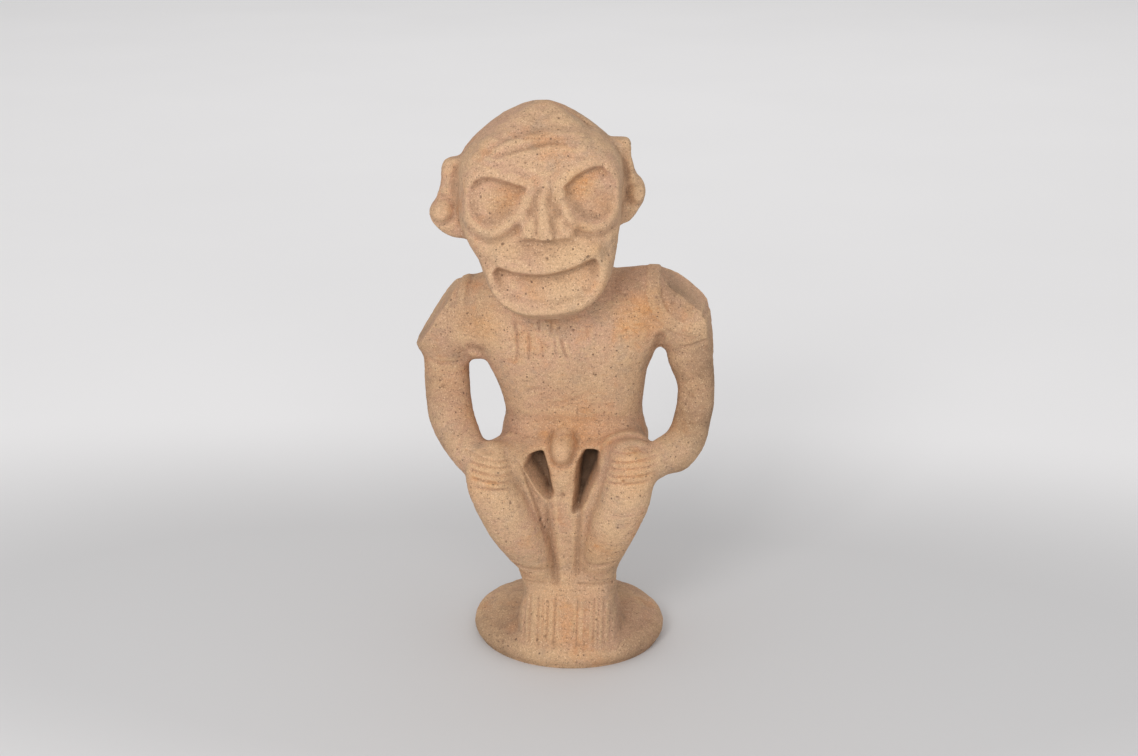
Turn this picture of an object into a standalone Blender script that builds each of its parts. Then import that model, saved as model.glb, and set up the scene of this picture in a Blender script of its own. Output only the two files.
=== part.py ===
"""Carved stone zemi figure: a squatting spirit with a broad goggle-eyed head, on a round base.

Metres, +Z up. The figure faces -Y, and the origin is the centre of the base's flat underside.
The whole object is one stone. Its masses are lofts and turned shapes that overlap, a voxel skin
fuses them, and the face, hands, feet and body are then cut into that skin by formula.
"""

import bmesh
import bpy
import numpy as np

# Driving sizes, in metres
FIGURE_HEIGHT = 0.320
BASE_RADIUS = 0.0595
BASE_RIM_THICKNESS = 0.0145
BASE_THICKNESS = 0.0200

# The base is not quite round: it is this share longer one way, and as much shorter across it
BASE_OUT_OF_ROUND = 0.018
LONGEST_WAY = np.radians(135)

# The carving is laid out in units of 1/320 of the figure's height, which are millimetres at full
# size. Heights in it are counted from the floor under a base 20 units thick.
UNIT = FIGURE_HEIGHT / 320
LAID_OUT_BASE = 20
LIFT = BASE_THICKNESS - LAID_OUT_BASE * UNIT

# How the stone is worked, in units of the carving
SKIN_VOXEL = 1.5
FILLET = 2.2
SURFACE_SMOOTHING = 4
TRIANGLES = 9200

# Colour of the stone
STONE_COLOUR = (0.52, 0.36, 0.23, 1.0)
STONE_ROUGHNESS = 0.9

# The lofts
RING_POINTS = 28
RINGS_PER_SPAN = 5
ROUND_END_STEPS = np.radians([30, 55, 75])
BASE_SEGMENTS = 96

# The base's dome: shares of its radius, and how far the top has fallen there as shares of its rise
BASE_DOME = [(0.45, 0.08), (0.75, 0.45)]

# The face has a plane of its own: right and up in it are seen from the front, and out is towards
# the viewer. Its middle is between the eyes, and it looks a little to the figure's left.
FACE_MIDDLE = np.array([-9.0, -58.0, 285.0])
FACE_TURN = np.radians(8.0)
FACE_RIGHT = np.array([np.cos(FACE_TURN), np.sin(FACE_TURN), 0.0])
FACE_OUT = np.array([np.sin(FACE_TURN), -np.cos(FACE_TURN), 0.0])


def clear_scene():
    """Removes every object that is in the file."""
    for item in list(bpy.data.objects):
        bpy.data.objects.remove(item, do_unlink=True)


def placed(points):
    """Points in the carving's units, as metres above the floor."""
    return np.asarray(points, float) * UNIT + np.array([0.0, 0.0, LIFT])


def laid_out(points):
    """Points in metres above the floor, as the carving's units."""
    return (np.asarray(points, float) - np.array([0.0, 0.0, LIFT])) / UNIT


def new_object(name, mesh, collection):
    """A mesh as an object of its own in a collection."""
    item = bpy.data.objects.new(name, mesh)
    collection.objects.link(item)
    return item


def through(rows, per_span=RINGS_PER_SPAN):
    """Rows of numbers, with more rows between them on a Catmull-Rom curve through them all."""
    rows = np.asarray(rows, float)
    padded = np.vstack([2 * rows[0] - rows[1], rows, 2 * rows[-1] - rows[-2]])
    t = np.linspace(0, 1, per_span, endpoint=False)[:, None]
    spans = [
        b + (c - a) * t / 2 + (2 * a - 5 * b + 4 * c - d) * t**2 / 2 + (3 * b - a - 3 * c + d) * t**3 / 2
        for a, b, c, d in zip(padded, padded[1:], padded[2:], padded[3:])
    ]
    return np.vstack(spans + [rows[-1:]])


def superellipse(power, count=RING_POINTS):
    """A closed ring that reaches 1 along both axes: a circle at power 2, squarer above it."""
    angle = np.linspace(0, 2 * np.pi, count, endpoint=False)
    across, along = np.cos(angle), np.sin(angle)
    return (
        np.sign(across) * np.abs(across) ** (2 / power),
        np.sign(along) * np.abs(along) ** (2 / power),
    )


def loft(name, rings, collection):
    """A closed mesh from rings of points in units, with a cap on the first and the last."""
    count, size = rings.shape[:2]
    row, col = np.meshgrid(np.arange(count - 1), np.arange(size), indexing="ij")
    here, beside = row * size + col, row * size + (col + 1) % size
    sides = np.stack([here, beside, beside + size, here + size], axis=-1).reshape(-1, 4).tolist()
    caps = [list(range(size))[::-1], list(range((count - 1) * size, count * size))]
    mesh = bpy.data.meshes.new(name)
    mesh.from_pydata(placed(rings.reshape(-1, 3)).tolist(), [], sides + caps)
    return new_object(name, mesh, collection)


def limb(name, stations, collection, side=(1, 0, 0), power=2.2, cap=0.7):
    """A loft along a curved path, with round ends.

    A station is x, y, z, half width along side, half depth. The ends bulge by cap times the
    half width.
    """
    rows = through(stations)
    for end, neighbour in ((0, 1), (-1, -2)):
        outward = rows[end, :3] - rows[neighbour, :3]
        outward /= np.linalg.norm(outward)
        bulge = []
        for angle in ROUND_END_STEPS:
            centre = rows[end, :3] + outward * rows[end, 3:].min() * cap * np.sin(angle)
            bulge.append(np.concatenate([centre, rows[end, 3:] * np.cos(angle)]))
        rows = np.vstack([bulge[::-1], rows]) if end == 0 else np.vstack([rows, bulge])
    centre, half_width, half_depth = rows[:, :3], rows[:, 3:4], rows[:, 4:5]
    tangent = np.gradient(centre, axis=0)
    tangent /= np.linalg.norm(tangent, axis=1, keepdims=True)
    across = np.asarray(side, float) - (tangent @ np.asarray(side, float))[:, None] * tangent
    across /= np.linalg.norm(across, axis=1, keepdims=True)
    along = np.cross(tangent, across)
    u, v = superellipse(power)
    rings = (
        centre[:, None]
        + (across * half_width)[:, None] * u[None, :, None]
        + (along * half_depth)[:, None] * v[None, :, None]
    )
    return loft(name, rings, collection)


def block(name, stations, collection, front_power=2.4, back_power=2.4, in_face=False):
    """A loft of level sections. A station is height, middle x, half width, front y, back y.

    With in_face, x is the way to the face's right and y the way back from its plane.
    """
    rows = through(stations)
    z, x, half_width, front, back = (rows[:, i : i + 1] for i in range(5))
    middle, half_depth = (front + back) / 2, (back - front) / 2
    u, v = superellipse(2.0)
    fu, fv = superellipse(front_power)
    bu, bv = superellipse(back_power)
    u, v = np.where(v < 0, fu, bu), np.where(v < 0, fv, bv)
    px, py = x + half_width * u, middle + half_depth * v
    if in_face:
        rings = FACE_MIDDLE + px[..., None] * FACE_RIGHT - py[..., None] * FACE_OUT
        rings[..., 2] = z
    else:
        rings = np.stack([px, py, np.broadcast_to(z, px.shape)], axis=-1)
    return loft(name, rings, collection)


def base_disc(collection):
    """The round base: a cushion-edged disc with a low domed top, turned about the middle."""
    rim = BASE_RIM_THICKNESS / 2
    turns = np.linspace(np.pi / 2, -np.pi / 3, 12)
    edge = [(BASE_RADIUS - rim + rim * np.cos(a), rim + rim * np.sin(a)) for a in turns]
    dome = BASE_THICKNESS - BASE_RIM_THICKNESS
    top = [(0, BASE_THICKNESS)]
    top += [(BASE_RADIUS * share, BASE_THICKNESS - dome * fall) for share, fall in BASE_DOME]
    profile = top + edge + [(edge[-1][0], -rim), (0, -rim)]
    mesh = bpy.data.meshes.new("base disc")
    mesh.from_pydata([(x, 0, z) for x, z in profile], [(i, i + 1) for i in range(len(profile) - 1)], [])
    disc = new_object("base disc", mesh, collection)
    turned = disc.modifiers.new("turned", "SCREW")
    turned.axis = "Z"
    turned.steps = turned.render_steps = BASE_SEGMENTS
    turned.use_merge_vertices = True
    turned.merge_threshold = 0.00005
    disc.scale = (1 + BASE_OUT_OF_ROUND, 1 - BASE_OUT_OF_ROUND, 1)
    disc.rotation_euler.z = LONGEST_WAY
    return disc


# The stone between the legs, seen from the front: a flat strip with a plane on either side of it
# that runs out to the shin. A row is height, x and y of the right shin's edge, x and y of the strip's
# right edge, x of its left edge, x and y of the left shin's edge, and the y of the back.
LEGS_WEB = [
    (12, -16, -30, -10, -34, 18, 26, -30, 22), (30, -14, -30, -4, -34, 8, 20, -30, 20),
    (42, -13, -31, -3, -34, 6, 17, -31, 19), (52, -13, -32, -2.6, -34, 6, 16, -32, 19),
    (62, -13, -35, -3.2, -35.5, 6.3, 17, -35, 20), (70, -15, -39, -3.6, -37, 6.4, 19, -39, 22),
    (82, -20, -44, -4.1, -39, 6.6, 22, -44.5, 25), (95, -26, -48.5, -4.6, -40, 6.9, 26, -49, 28),
    (105, -31, -50, -5.4, -39.5, 7.2, 29, -51, 30), (115, -35, -51, -7, -38.5, 7.2, 32, -52, 30),
    (124, -38, -50, -9, -36, 7.2, 35, -51, 28), (131, -39, -44, -9, -31.5, 7, 36, -46, 25),
    (136, -38, -34, -9, -24, 7, 35, -36, 22), (139, -34, -24, -9, -16, 7, 31, -26, 15),
]
WEB_POINTS_A_SIDE = 5


def legs_web(collection):
    """The web between the legs, lofted through six-sided level sections."""
    z, right_x, right_y, strip_right, strip_y, strip_left, left_x, left_y, back = through(LEGS_WEB).T
    corners = np.array([
        (right_x, back), (right_x, right_y), (strip_right, strip_y), (strip_left, strip_y),
        (left_x, left_y), (left_x, back),
    ])
    share = np.linspace(0, 1, WEB_POINTS_A_SIDE, endpoint=False)[:, None, None]
    sides = [start + (end - start) * share for start, end in zip(corners, np.roll(corners, -1, axis=0))]
    flat = np.vstack(sides).transpose(2, 0, 1)
    height = np.broadcast_to(z[:, None, None], (*flat.shape[:2], 1))
    return loft("web", np.concatenate([flat, height], axis=2), collection)


def body_masses(collection):
    """Torso, buttocks, neck, and the stone between the legs."""
    block(
        "torso",
        [
            (124, 3.5, 42, -19, 30), (130, 3.5, 45, -24, 32), (137, 3, 43.5, -25, 33),
            (145, 3, 41.6, -25, 32), (154, 2.3, 42.6, -26, 31), (165, 1.2, 44.8, -27, 31),
            (175, -0.5, 48, -29, 32), (188, -1.5, 54, -31, 33), (200, -2.5, 59, -31, 34),
            (212, -3.5, 61, -29, 33), (222, -4.5, 58, -25, 30), (229, -5, 50, -17, 24),
            (232, -5, 40, -10, 18),
        ],
        collection,
    )
    block(
        "buttocks",
        [
            (80, 3, 14, 8, 24), (87, 3, 27, 2, 33), (98, 3, 35, 0, 39), (112, 3, 38, -1, 41),
            (126, 3, 39, -4, 39), (136, 3, 40, -6, 34),
        ],
        collection,
    )
    legs_web(collection)
    block(
        "pubis",
        [
            (103, -0.4, 3, -38, -20), (109, -0.7, 5.2, -40.5, -20), (117, -1, 7.8, -41, -20),
            (123, -1.2, 8.8, -39.5, -18), (128, -1.2, 8.4, -35, -16),
        ],
        collection,
        front_power=3.0,
    )
    limb(
        "neck",
        [(-3, 2, 215, 34, 26), (-6, -4, 236, 31, 26), (-9, -8, 256, 31, 27)],
        collection,
    )
    limb(
        "phallus",
        [(-0.8, -27, 139, 6.4, 6), (-1, -33, 133.5, 7.2, 7.4), (-1.2, -36, 128.5, 6.4, 6.2)],
        collection,
        cap=0.8,
    )


def leg_masses(collection):
    """Each leg: a thigh that comes forward and up to the knee, a shin and a flat foot."""
    thighs = {
        "right": [
            (-22, 14, 113, 20, 18), (-29.5, -12, 117, 19.5, 18), (-36.5, -33, 119, 18, 19),
            (-44.5, -44, 126, 13, 14),
        ],
        "left": [
            (28, 14, 115, 20, 18), (32.5, -12, 121, 20, 19), (37.5, -33, 123, 19, 20.5),
            (42, -44, 130, 14.5, 14),
        ],
    }
    shins = {
        "right": [
            (-45, -45, 126, 13.5, 13), (-41.5, -48, 114, 14.3, 14), (-36.2, -47, 102, 15, 15),
            (-29.6, -43, 88, 15.2, 15.5), (-22.6, -37, 74, 14, 15), (-17.6, -30, 61, 12, 13.5),
            (-15.5, -25, 49, 11.6, 12.5), (-14, -21, 36, 12, 12),
        ],
        "left": [
            (42.5, -45, 130, 15, 13), (39.8, -48, 118, 14.6, 14), (36.6, -47, 106, 14.8, 15),
            (31.4, -44, 92, 14.4, 15.5), (26.4, -38, 78, 13.2, 15), (22.6, -31, 64, 11.4, 13.5),
            (21.3, -25, 51, 10.2, 12.5), (20, -21, 38, 11.2, 12),
        ],
    }
    for side in ("right", "left"):
        limb(f"{side} thigh", thighs[side], collection)
        limb(f"{side} shin", shins[side], collection)
    block(
        "feet",
        [
            (10, 2.8, 32.2, -54, 4), (14, 2.8, 32, -53, 4), (20, 2.7, 31.5, -51, 3),
            (28, 2.5, 30.2, -47.5, 2), (35, 2.4, 28.2, -43.5, 0), (41, 2.6, 26.6, -40, -2),
            (47, 2.8, 25.2, -37.6, -4), (52, 3, 23.6, -36, -6), (56, 3, 21, -33, -8),
        ],
        collection,
        front_power=4.0,
        back_power=3.0,
    )


def arm_masses(collection):
    """Each arm: a broad shoulder, and a bowed arm whose hand rests on the knee."""
    shoulders = {
        "right": [
            (-34, 3, 207.5, 20, 21), (-55, 3, 203.4, 20, 25.7), (-70, 2, 200, 19, 22), (-78, 1, 190, 16, 16),
        ],
        "left": [
            (32, 3, 214.5, 20, 21), (50, 3, 212.2, 20, 24.6), (65, 2, 209, 19, 21), (73.5, 1, 198, 16, 16),
        ],
    }
    arms = {
        "right": [
            (-77, 1, 192, 14.5, 15), (-74.5, 0, 178, 13.6, 13.5), (-74, -2, 166, 13.8, 13.5),
            (-72.8, -7, 154, 13.8, 13), (-69.4, -15, 143.5, 13.2, 13), (-62.5, -26, 134.5, 12, 12),
            (-55, -37, 128, 10.5, 11), (-48, -45, 126, 10, 10.5),
        ],
        "left": [
            (73.4, 1, 198, 14.3, 14), (73, 0, 184, 13.9, 13.5), (76.7, -3, 169, 11.4, 12.5),
            (77, -6, 158, 11.2, 12), (75.6, -11, 147.5, 11.2, 12), (72.8, -18, 138, 11.4, 12.6),
            (67, -26, 131.5, 11.4, 13), (57.5, -36, 130, 10.6, 10.5), (50, -44, 128, 10, 10.5),
        ],
    }
    for side in ("right", "left"):
        limb(f"{side} shoulder", shoulders[side], collection, side=(0, 1, 0), power=2.6, cap=0.9)
        limb(f"{side} arm", arms[side], collection, power=2.2)


def head_masses(collection):
    """The skull with its flat face and low crown, and the two ears with their plugs."""
    block(
        "skull",
        [
            (218, 1.5, 7, 7, 30), (220.5, 1.5, 16, 2.5, 38), (226, 1.5, 25.5, 0.5, 46),
            (234, 2, 33, -0.5, 55), (243, 2.6, 37, -0.5, 66), (252, 2, 40, 0.5, 76),
            (261, 0.2, 43.6, 1, 84), (272, -1, 46.6, 1, 89), (285, -1, 47, 0.5, 92),
            (298, -0.5, 47, 0.5, 93), (307, 0, 45.5, 2, 92), (314, 0.6, 41, 5, 90),
            (319, 0.8, 35.8, 9, 87), (324, 0.8, 29.8, 14, 82), (329, 0.8, 22.6, 21, 74),
            (333.8, 1, 14.2, 29, 64), (337.2, 1.2, 6.6, 37, 54), (338.4, 1.2, 2.2, 42, 48),
        ],
        collection,
        front_power=4.5,
        in_face=True,
    )
    ears = {
        "right": [
            (259, -43, 8, 36, 48), (261, -45.5, 10, 34, 51), (264, -48, 12, 33, 53),
            (268, -50, 13.4, 32, 54), (272.5, -51.5, 14, 32, 54), (277, -51.2, 13.6, 32, 54),
            (281.5, -49.4, 11.8, 34, 53), (286, -48.6, 11.2, 36, 51), (291, -47.5, 10.4, 36, 51),
            (299, -47.2, 10.4, 36, 51), (303, -46.6, 9.8, 36, 51), (305.6, -45.4, 8.6, 37, 50),
        ],
        "left": [
            (267, 43, 8, 35, 50), (270, 44.5, 9.5, 34, 52), (275, 46.5, 11, 33, 53),
            (281, 48.3, 11.8, 32, 54), (287, 48.6, 12, 32, 54), (291.5, 47.6, 11.4, 33, 53),
            (295.6, 45.2, 10, 35, 52), (300, 44.4, 9.6, 36, 51), (306, 43, 9.4, 36, 51),
            (312, 42.8, 9.6, 36, 51), (316.5, 42.4, 9.4, 37, 50),
        ],
    }
    for side, stations in ears.items():
        block(f"{side} ear", stations, collection, front_power=3.0, back_power=3.0, in_face=True)


def joined(collection, name):
    """One mesh that holds every mass, still as shapes that overlap."""
    depsgraph = bpy.context.evaluated_depsgraph_get()
    work = bmesh.new()
    for item in collection.objects:
        mass = item.evaluated_get(depsgraph).to_mesh()
        mass.transform(item.matrix_world)
        work.from_mesh(mass)
    mesh = bpy.data.meshes.new(name)
    work.to_mesh(mesh)
    work.free()
    return mesh


def add_voxels(item):
    """A modifier that wraps everything in one even skin."""
    voxels = item.modifiers.new("voxel skin", "REMESH")
    voxels.mode = "VOXEL"
    voxels.voxel_size = SKIN_VOXEL * UNIT


def add_offset(item, distance):
    """A modifier that moves the skin outwards by a distance in metres."""
    offset = item.modifiers.new("offset", "DISPLACE")
    offset.direction = "NORMAL"
    offset.mid_level = 0.0
    offset.strength = distance


def add_smoothing(item, passes):
    """A modifier that softens the skin, as weathering does."""
    weather = item.modifiers.new("weathering", "SMOOTH")
    weather.factor = 0.5
    weather.iterations = round(passes)


def bake_modifiers(item):
    """Replaces an object's mesh by what its modifiers make of it."""
    depsgraph = bpy.context.evaluated_depsgraph_get()
    mesh = bpy.data.meshes.new_from_object(item.evaluated_get(depsgraph))
    item.modifiers.clear()
    item.data = mesh


def ease(x):
    """0 up to 0, 1 from 1 on, and a smooth step between them."""
    x = np.clip(x, 0, 1)
    return x * x * (3 - 2 * x)


def bump(distance, reach):
    """1 at distance 0, falling smoothly to 0 at the reach on either side."""
    return 1 - ease(np.abs(distance) / reach)


def between(x, low, high, soft):
    """1 from low to high, falling smoothly to 0 within soft outside them."""
    return ease((x - low) / soft + 1) * ease((high - x) / soft + 1)


def to_path(x, y, path):
    """How far flat points are from a smooth path, and how far along it they are, from 0 to 1."""
    path = through(path)
    best = np.full(x.shape, np.inf)
    along = np.zeros(x.shape)
    for i, (start, end) in enumerate(zip(path, path[1:])):
        run = end - start
        share = np.clip(((x - start[0]) * run[0] + (y - start[1]) * run[1]) / (run @ run), 0, 1)
        distance = np.hypot(x - start[0] - share * run[0], y - start[1] - share * run[1])
        nearer = distance < best
        best = np.where(nearer, distance, best)
        along = np.where(nearer, (i + share) / (len(path) - 1), along)
    return best, along


def groove(x, y, path, width, fade=0.12):
    """A cut along a path, 1 deep in its middle, that runs out at its two ends."""
    distance, along = to_path(x, y, path)
    return bump(distance, width / 2) * ease(along / fade) * ease((1 - along) / fade)


def inside(x, y, corners):
    """How far flat points are inside a closed outline, and below 0 outside it."""
    outline = np.vstack([corners, corners[:1]]).astype(float)
    nearest = np.full(x.shape, np.inf)
    within = np.zeros(x.shape, bool)
    for start, end in zip(outline, outline[1:]):
        run = end - start
        share = np.clip(((x - start[0]) * run[0] + (y - start[1]) * run[1]) / (run @ run), 0, 1)
        distance = np.hypot(x - start[0] - share * run[0], y - start[1] - share * run[1])
        nearest = np.minimum(nearest, distance)
        crosses = (start[1] > y) != (end[1] > y)
        rise = np.where(run[1] == 0, 1, run[1])
        within ^= crosses & (x < start[0] + (y - start[1]) * run[0] / rise)
    return np.where(within, nearest, -nearest)


# The face's outlines, in its own plane. Each eye is a goggle that the brow cuts off above.
EYES = {
    "right": {
        "brow": [(-10.5, 12.2), (-19.5, 14.8), (-27, 17.4), (-33.5, 17.9), (-39.5, 15.4)],
        "socket": [
            (-43.6, 10), (-44.4, 3), (-41.8, -5.5), (-36, -10.5), (-29.5, -11.4), (-23.4, -8.8),
            (-17.2, -2.4), (-13, 4),
        ],
    },
    "left": {
        "brow": [(11.6, 12.8), (16.6, 17.2), (22, 20.4), (28, 22.9), (33.4, 22.7)],
        "socket": [
            (38.6, 19.6), (42, 12.6), (42.4, 5), (40.2, -2.6), (35, -7.6), (28.6, -8.8), (22, -6.4),
            (16, -1), (12, 6),
        ],
    },
}
SOCKET_DEPTH = 2.2
SOCKET_DEPTH_UNDER_BROW = 4.4
SOCKET_WALL = 2.2
BROW_REACH = 13
EYEBALL_RISE = 1.3
EYEBALL_RADIUS = 12
RIM_RISE = 1.9
RIM_WIDTH = 6.0
RIM_MIDDLE = 2.3
RIM_CREASE_DEPTH = 0.9
RIM_CREASE_WIDTH = 4.0

NOSE_TOP = 11.5
NOSE_BASE = -17.2
NOSE_LEAN = 3.2
NOSE_MIDDLE_AT_TOP = -1.9
NOSE_RISE_AT_TOP = 1.2
NOSE_RISE_AT_BASE = 5.4
NOSE_HALF_WIDTH_AT_TOP = 2.4
NOSE_HALF_WIDTH_AT_BASE = 3.8
NOSE_FLANK_RISE = 1.5
NOSE_FLANK_REACH = 17
NOSTRILS = [(-8.0, -12.0, 6.4, 8.5), (11.0, -11.5, 7.9, 9.0)]
NOSTRIL_RISE = 3.9
NOSE_CUT_DEPTH = 1.2
NOSE_CUT_WIDTH = 3.8

MOUTH_TOP = [
    (-27.4, -33.2), (-21.7, -34), (-12, -36.2), (-2.2, -37.1), (8, -35.8), (17.3, -32.8),
    (24, -29.8), (29.4, -28.6),
]
MOUTH_FLOOR = [
    (31, -32), (31, -39), (28.6, -46), (22, -51.6), (10.8, -55), (-2.3, -56), (-16, -54.4),
    (-24, -50), (-28.4, -43), (-29.2, -37),
]
JAW = [
    (-40, -24), (-38.6, -33), (-36.4, -42), (-33, -50.6), (-26, -58), (-14, -63.2), (-1, -65),
    (12, -64), (22, -61.4), (30.4, -56.6), (37, -49), (41, -41), (43, -32), (42, -23),
]
LIP_RISE = 3.0
LIP_REACH = 13
JAW_RISE = 2.2
JAW_RIM_RISE = 3.0
JAW_RIM_MIDDLE = 3.4
JAW_RIM_REACH = 5.2
MOUTH_DEPTH = 1.8
MOUTH_DEPTH_UNDER_LIP = 6.2
MOUTH_CORNER_DEPTH = 1.6

HEADBAND_UPPER = [(-34, 36), (-21, 41), (-7.6, 44.6), (10.7, 45.2), (25, 42.6)]
HEADBAND_LOWER = [(-33, 30.5), (-22, 33.5), (-10, 35), (5, 36.2)]
HEADBAND_DEPTH = 1.3
HEADBAND_WIDTH = 3.6


def eye_relief(x, y, eye):
    """A hollow socket, deepest under the brow, in a raised rim that the brow cuts off."""
    outline = eye["brow"] + eye["socket"]
    depth = inside(x, y, outline)
    brow, _ = to_path(x, y, eye["brow"])
    socket, _ = to_path(x, y, eye["socket"])
    middle = np.mean(outline, axis=0)
    ball = EYEBALL_RISE * bump(np.hypot(x - middle[0], y - middle[1]), EYEBALL_RADIUS)
    slope = (SOCKET_DEPTH_UNDER_BROW - SOCKET_DEPTH) * bump(brow, BROW_REACH)
    hollow = (ball - SOCKET_DEPTH - slope) * ease(depth / SOCKET_WALL)
    rim = RIM_RISE * bump(-depth - RIM_MIDDLE, RIM_WIDTH / 2)
    crease = RIM_CREASE_DEPTH * bump(-depth - RIM_WIDTH, RIM_CREASE_WIDTH / 2)
    below_brow = ease((brow - socket) / BROW_REACH * 2.6 + 0.4)
    return np.where(depth > 0, hollow, (rim - crease) * below_brow)


def nose_relief(x, y):
    """A straight ridge that stands out more towards its base, between two nostril lobes."""
    down = np.clip((NOSE_TOP - y) / (NOSE_TOP - NOSE_BASE), 0, 1.2)
    aside = np.abs(x - NOSE_MIDDLE_AT_TOP - NOSE_LEAN * down)
    half_width = NOSE_HALF_WIDTH_AT_TOP + (NOSE_HALF_WIDTH_AT_BASE - NOSE_HALF_WIDTH_AT_TOP) * down
    rise = NOSE_RISE_AT_TOP + (NOSE_RISE_AT_BASE - NOSE_RISE_AT_TOP) * down
    ridge = rise * ease((half_width + 1.2 - aside) / 2.6)
    for middle, height, across, up in NOSTRILS:
        lobe = bump(np.hypot((x - middle) / across, (y - height) / up), 1)
        ridge = np.maximum(ridge, NOSTRIL_RISE * lobe)
    flank = NOSE_FLANK_RISE * down * bump(aside, NOSE_FLANK_REACH)
    cut = NOSE_CUT_DEPTH * bump(aside - half_width - 2.8, NOSE_CUT_WIDTH / 2) * between(y, -14, 4, 4)
    return (ridge + flank - cut) * ease((y - NOSE_BASE + 1.8) / 2.2) * ease((NOSE_TOP + 3 - y) / 5)


def mouth_relief(x, y):
    """A jutting jaw with a crescent mouth: a lip above it, a hollow and a round rim below."""
    jaw = inside(x, y, JAW)
    hollow = inside(x, y, MOUTH_TOP + MOUTH_FLOOR)
    lip, _ = to_path(x, y, MOUTH_TOP)
    lip_height = np.interp(x, [p[0] for p in MOUTH_TOP], [p[1] for p in MOUTH_TOP])
    above = LIP_RISE * bump(lip, LIP_REACH) * between(x, -30, 32, 8)
    plate = JAW_RISE * ease((jaw + 1.5) / 5)
    rim = JAW_RIM_RISE * bump(jaw - JAW_RIM_MIDDLE, JAW_RIM_REACH) * ease((lip_height + 3 - y) / 4)
    depth = MOUTH_DEPTH + (MOUTH_DEPTH_UNDER_LIP - MOUTH_DEPTH) * bump(lip, 15)
    depth += MOUTH_CORNER_DEPTH * bump(np.abs(x - 2) - 30, 12)
    below = plate + np.where(hollow > 0, -depth * ease(hollow / 2.2), rim)
    return np.where(y > lip_height, above, below)


def headband_relief(x, y):
    """A low band round the forehead, between two creases."""
    lower, _ = to_path(x, y, HEADBAND_LOWER)
    creases = groove(x, y, HEADBAND_UPPER, HEADBAND_WIDTH, 0.25)
    creases += 0.7 * groove(x, y, HEADBAND_LOWER, HEADBAND_WIDTH, 0.3)
    band = 0.9 * bump(lower - 4.5, 4.5) * (y > 34) * between(x, -28, 20, 10)
    return band - HEADBAND_DEPTH * creases


def carve_face(points, normals):
    """Cuts the face into the front of the head."""
    offset = points - FACE_MIDDLE
    x, y, out = offset @ FACE_RIGHT, offset[:, 2], offset @ FACE_OUT
    facing = ease((normals @ FACE_OUT - 0.15) / 0.45) * (out > -30) * (y > -70)
    relief = nose_relief(x, y) + mouth_relief(x, y) + headband_relief(x, y)
    for eye in EYES.values():
        relief += eye_relief(x, y, eye)
    return points + (relief * facing)[:, None] * FACE_OUT


# The flat facets on the outer shoulders: a place on each, the way it faces, and where it starts
SHOULDER_FACETS = [
    {"side": -1, "at": (-65.5, 0, 228.6), "facing": (-0.82, -0.12, 0.54), "starts": 182, "full": 188},
    {"side": 1, "at": (55.5, 0, 236.4), "facing": (0.634, -0.1, 0.773), "starts": 182, "full": 188},
    {"side": 1, "at": (82.5, 0, 210), "facing": (0.985, -0.1, 0.17), "starts": 180, "full": 200},
]
SHOULDERS_FROM_MIDDLE = 40
NECK_HEIGHT = 240


def carve_shoulders(points, normals):
    """Dresses the outer shoulders flat: what stands out past a facet is pushed back onto it."""
    for facet in SHOULDER_FACETS:
        x, z = points[:, 0], points[:, 2]
        facing = np.asarray(facet["facing"]) / np.linalg.norm(facet["facing"])
        reached = ease((z - facet["starts"]) / (facet["full"] - facet["starts"])) * (z < NECK_HEIGHT)
        reached *= x * facet["side"] > SHOULDERS_FROM_MIDDLE
        over = np.clip((points - np.asarray(facet["at"])) @ facing, 0, None) * reached
        points = points - over[:, None] * facing
    return points


# Lines between the fingers, as x and height on the front of each knee
FINGER_LINES = [
    [(-58, 135.4), (-41, 132.3), (-29, 129.8)], [(-57, 130.9), (-42, 128.8), (-28, 126.2)],
    [(-55, 126.6), (-42, 124.6), (-27, 122.6)], [(-53, 122.1), (-40, 120.4), (-27, 118.8)],
    [(-50.5, 117.2), (-40, 116.4), (-28, 115.7)], [(26, 136.8), (40, 138.4), (57, 140.6)],
    [(25, 132.5), (40, 134.2), (57, 136.2)], [(25.5, 128.8), (40, 130.4), (57, 131.9)],
    [(26, 125.1), (40, 126.3), (55, 127.5)], [(27, 121.4), (40, 122.5), (54, 123.7)],
]
FINGER_LINE_DEPTH = 1.1
FINGER_LINE_WIDTH = 2.8
HANDS_BEHIND = -35

# Upright lines between the toes: x, and the heights between which each runs
TOE_LINES = [
    (-20, 15, 37), (-14.2, 14, 38), (-9, 15, 37), (-3.5, 15, 36), (4.8, 14, 36), (11.5, 15, 37),
    (16.2, 14, 38), (21, 15, 38), (26, 15, 37),
]
TOE_LINE_DEPTH = 1.2
TOE_LINE_WIDTH = 3.0
FEET_BEHIND = -25

# A crease across the front of each ankle: from x to x
ANKLES = [(-26, -6), (10, 31)]
ANKLE_HEIGHT = 47.5
ANKLE_CREASE_DEPTH = 1.0
ANKLE_CREASE_WIDTH = 3.6


def facing_front(normals):
    """1 where the skin faces forwards, falling to 0 where it faces sideways."""
    return ease((-normals[:, 1] - 0.1) / 0.4)


def pushed_back(points, distance):
    """Points moved towards the back of the figure."""
    return points + distance[:, None] * np.array([0.0, 1.0, 0.0])


def carve_limbs(points, normals):
    """Fingers across the knees, toes down the feet and a crease over each ankle."""
    x, y, z = points.T
    cut = np.zeros(len(x))
    for line in FINGER_LINES:
        cut += FINGER_LINE_DEPTH * groove(x, z, line, FINGER_LINE_WIDTH) * (y < HANDS_BEHIND)
    for place, low, high in TOE_LINES:
        line = bump(x - place, TOE_LINE_WIDTH / 2) * between(z, low, high, 4)
        cut += TOE_LINE_DEPTH * line * (y < FEET_BEHIND)
    for start, end in ANKLES:
        crease = bump(z - ANKLE_HEIGHT, ANKLE_CREASE_WIDTH / 2) * between(x, start, end, 3)
        cut += ANKLE_CREASE_DEPTH * crease * (y < FEET_BEHIND)
    return pushed_back(points, cut * facing_front(normals))


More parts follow.
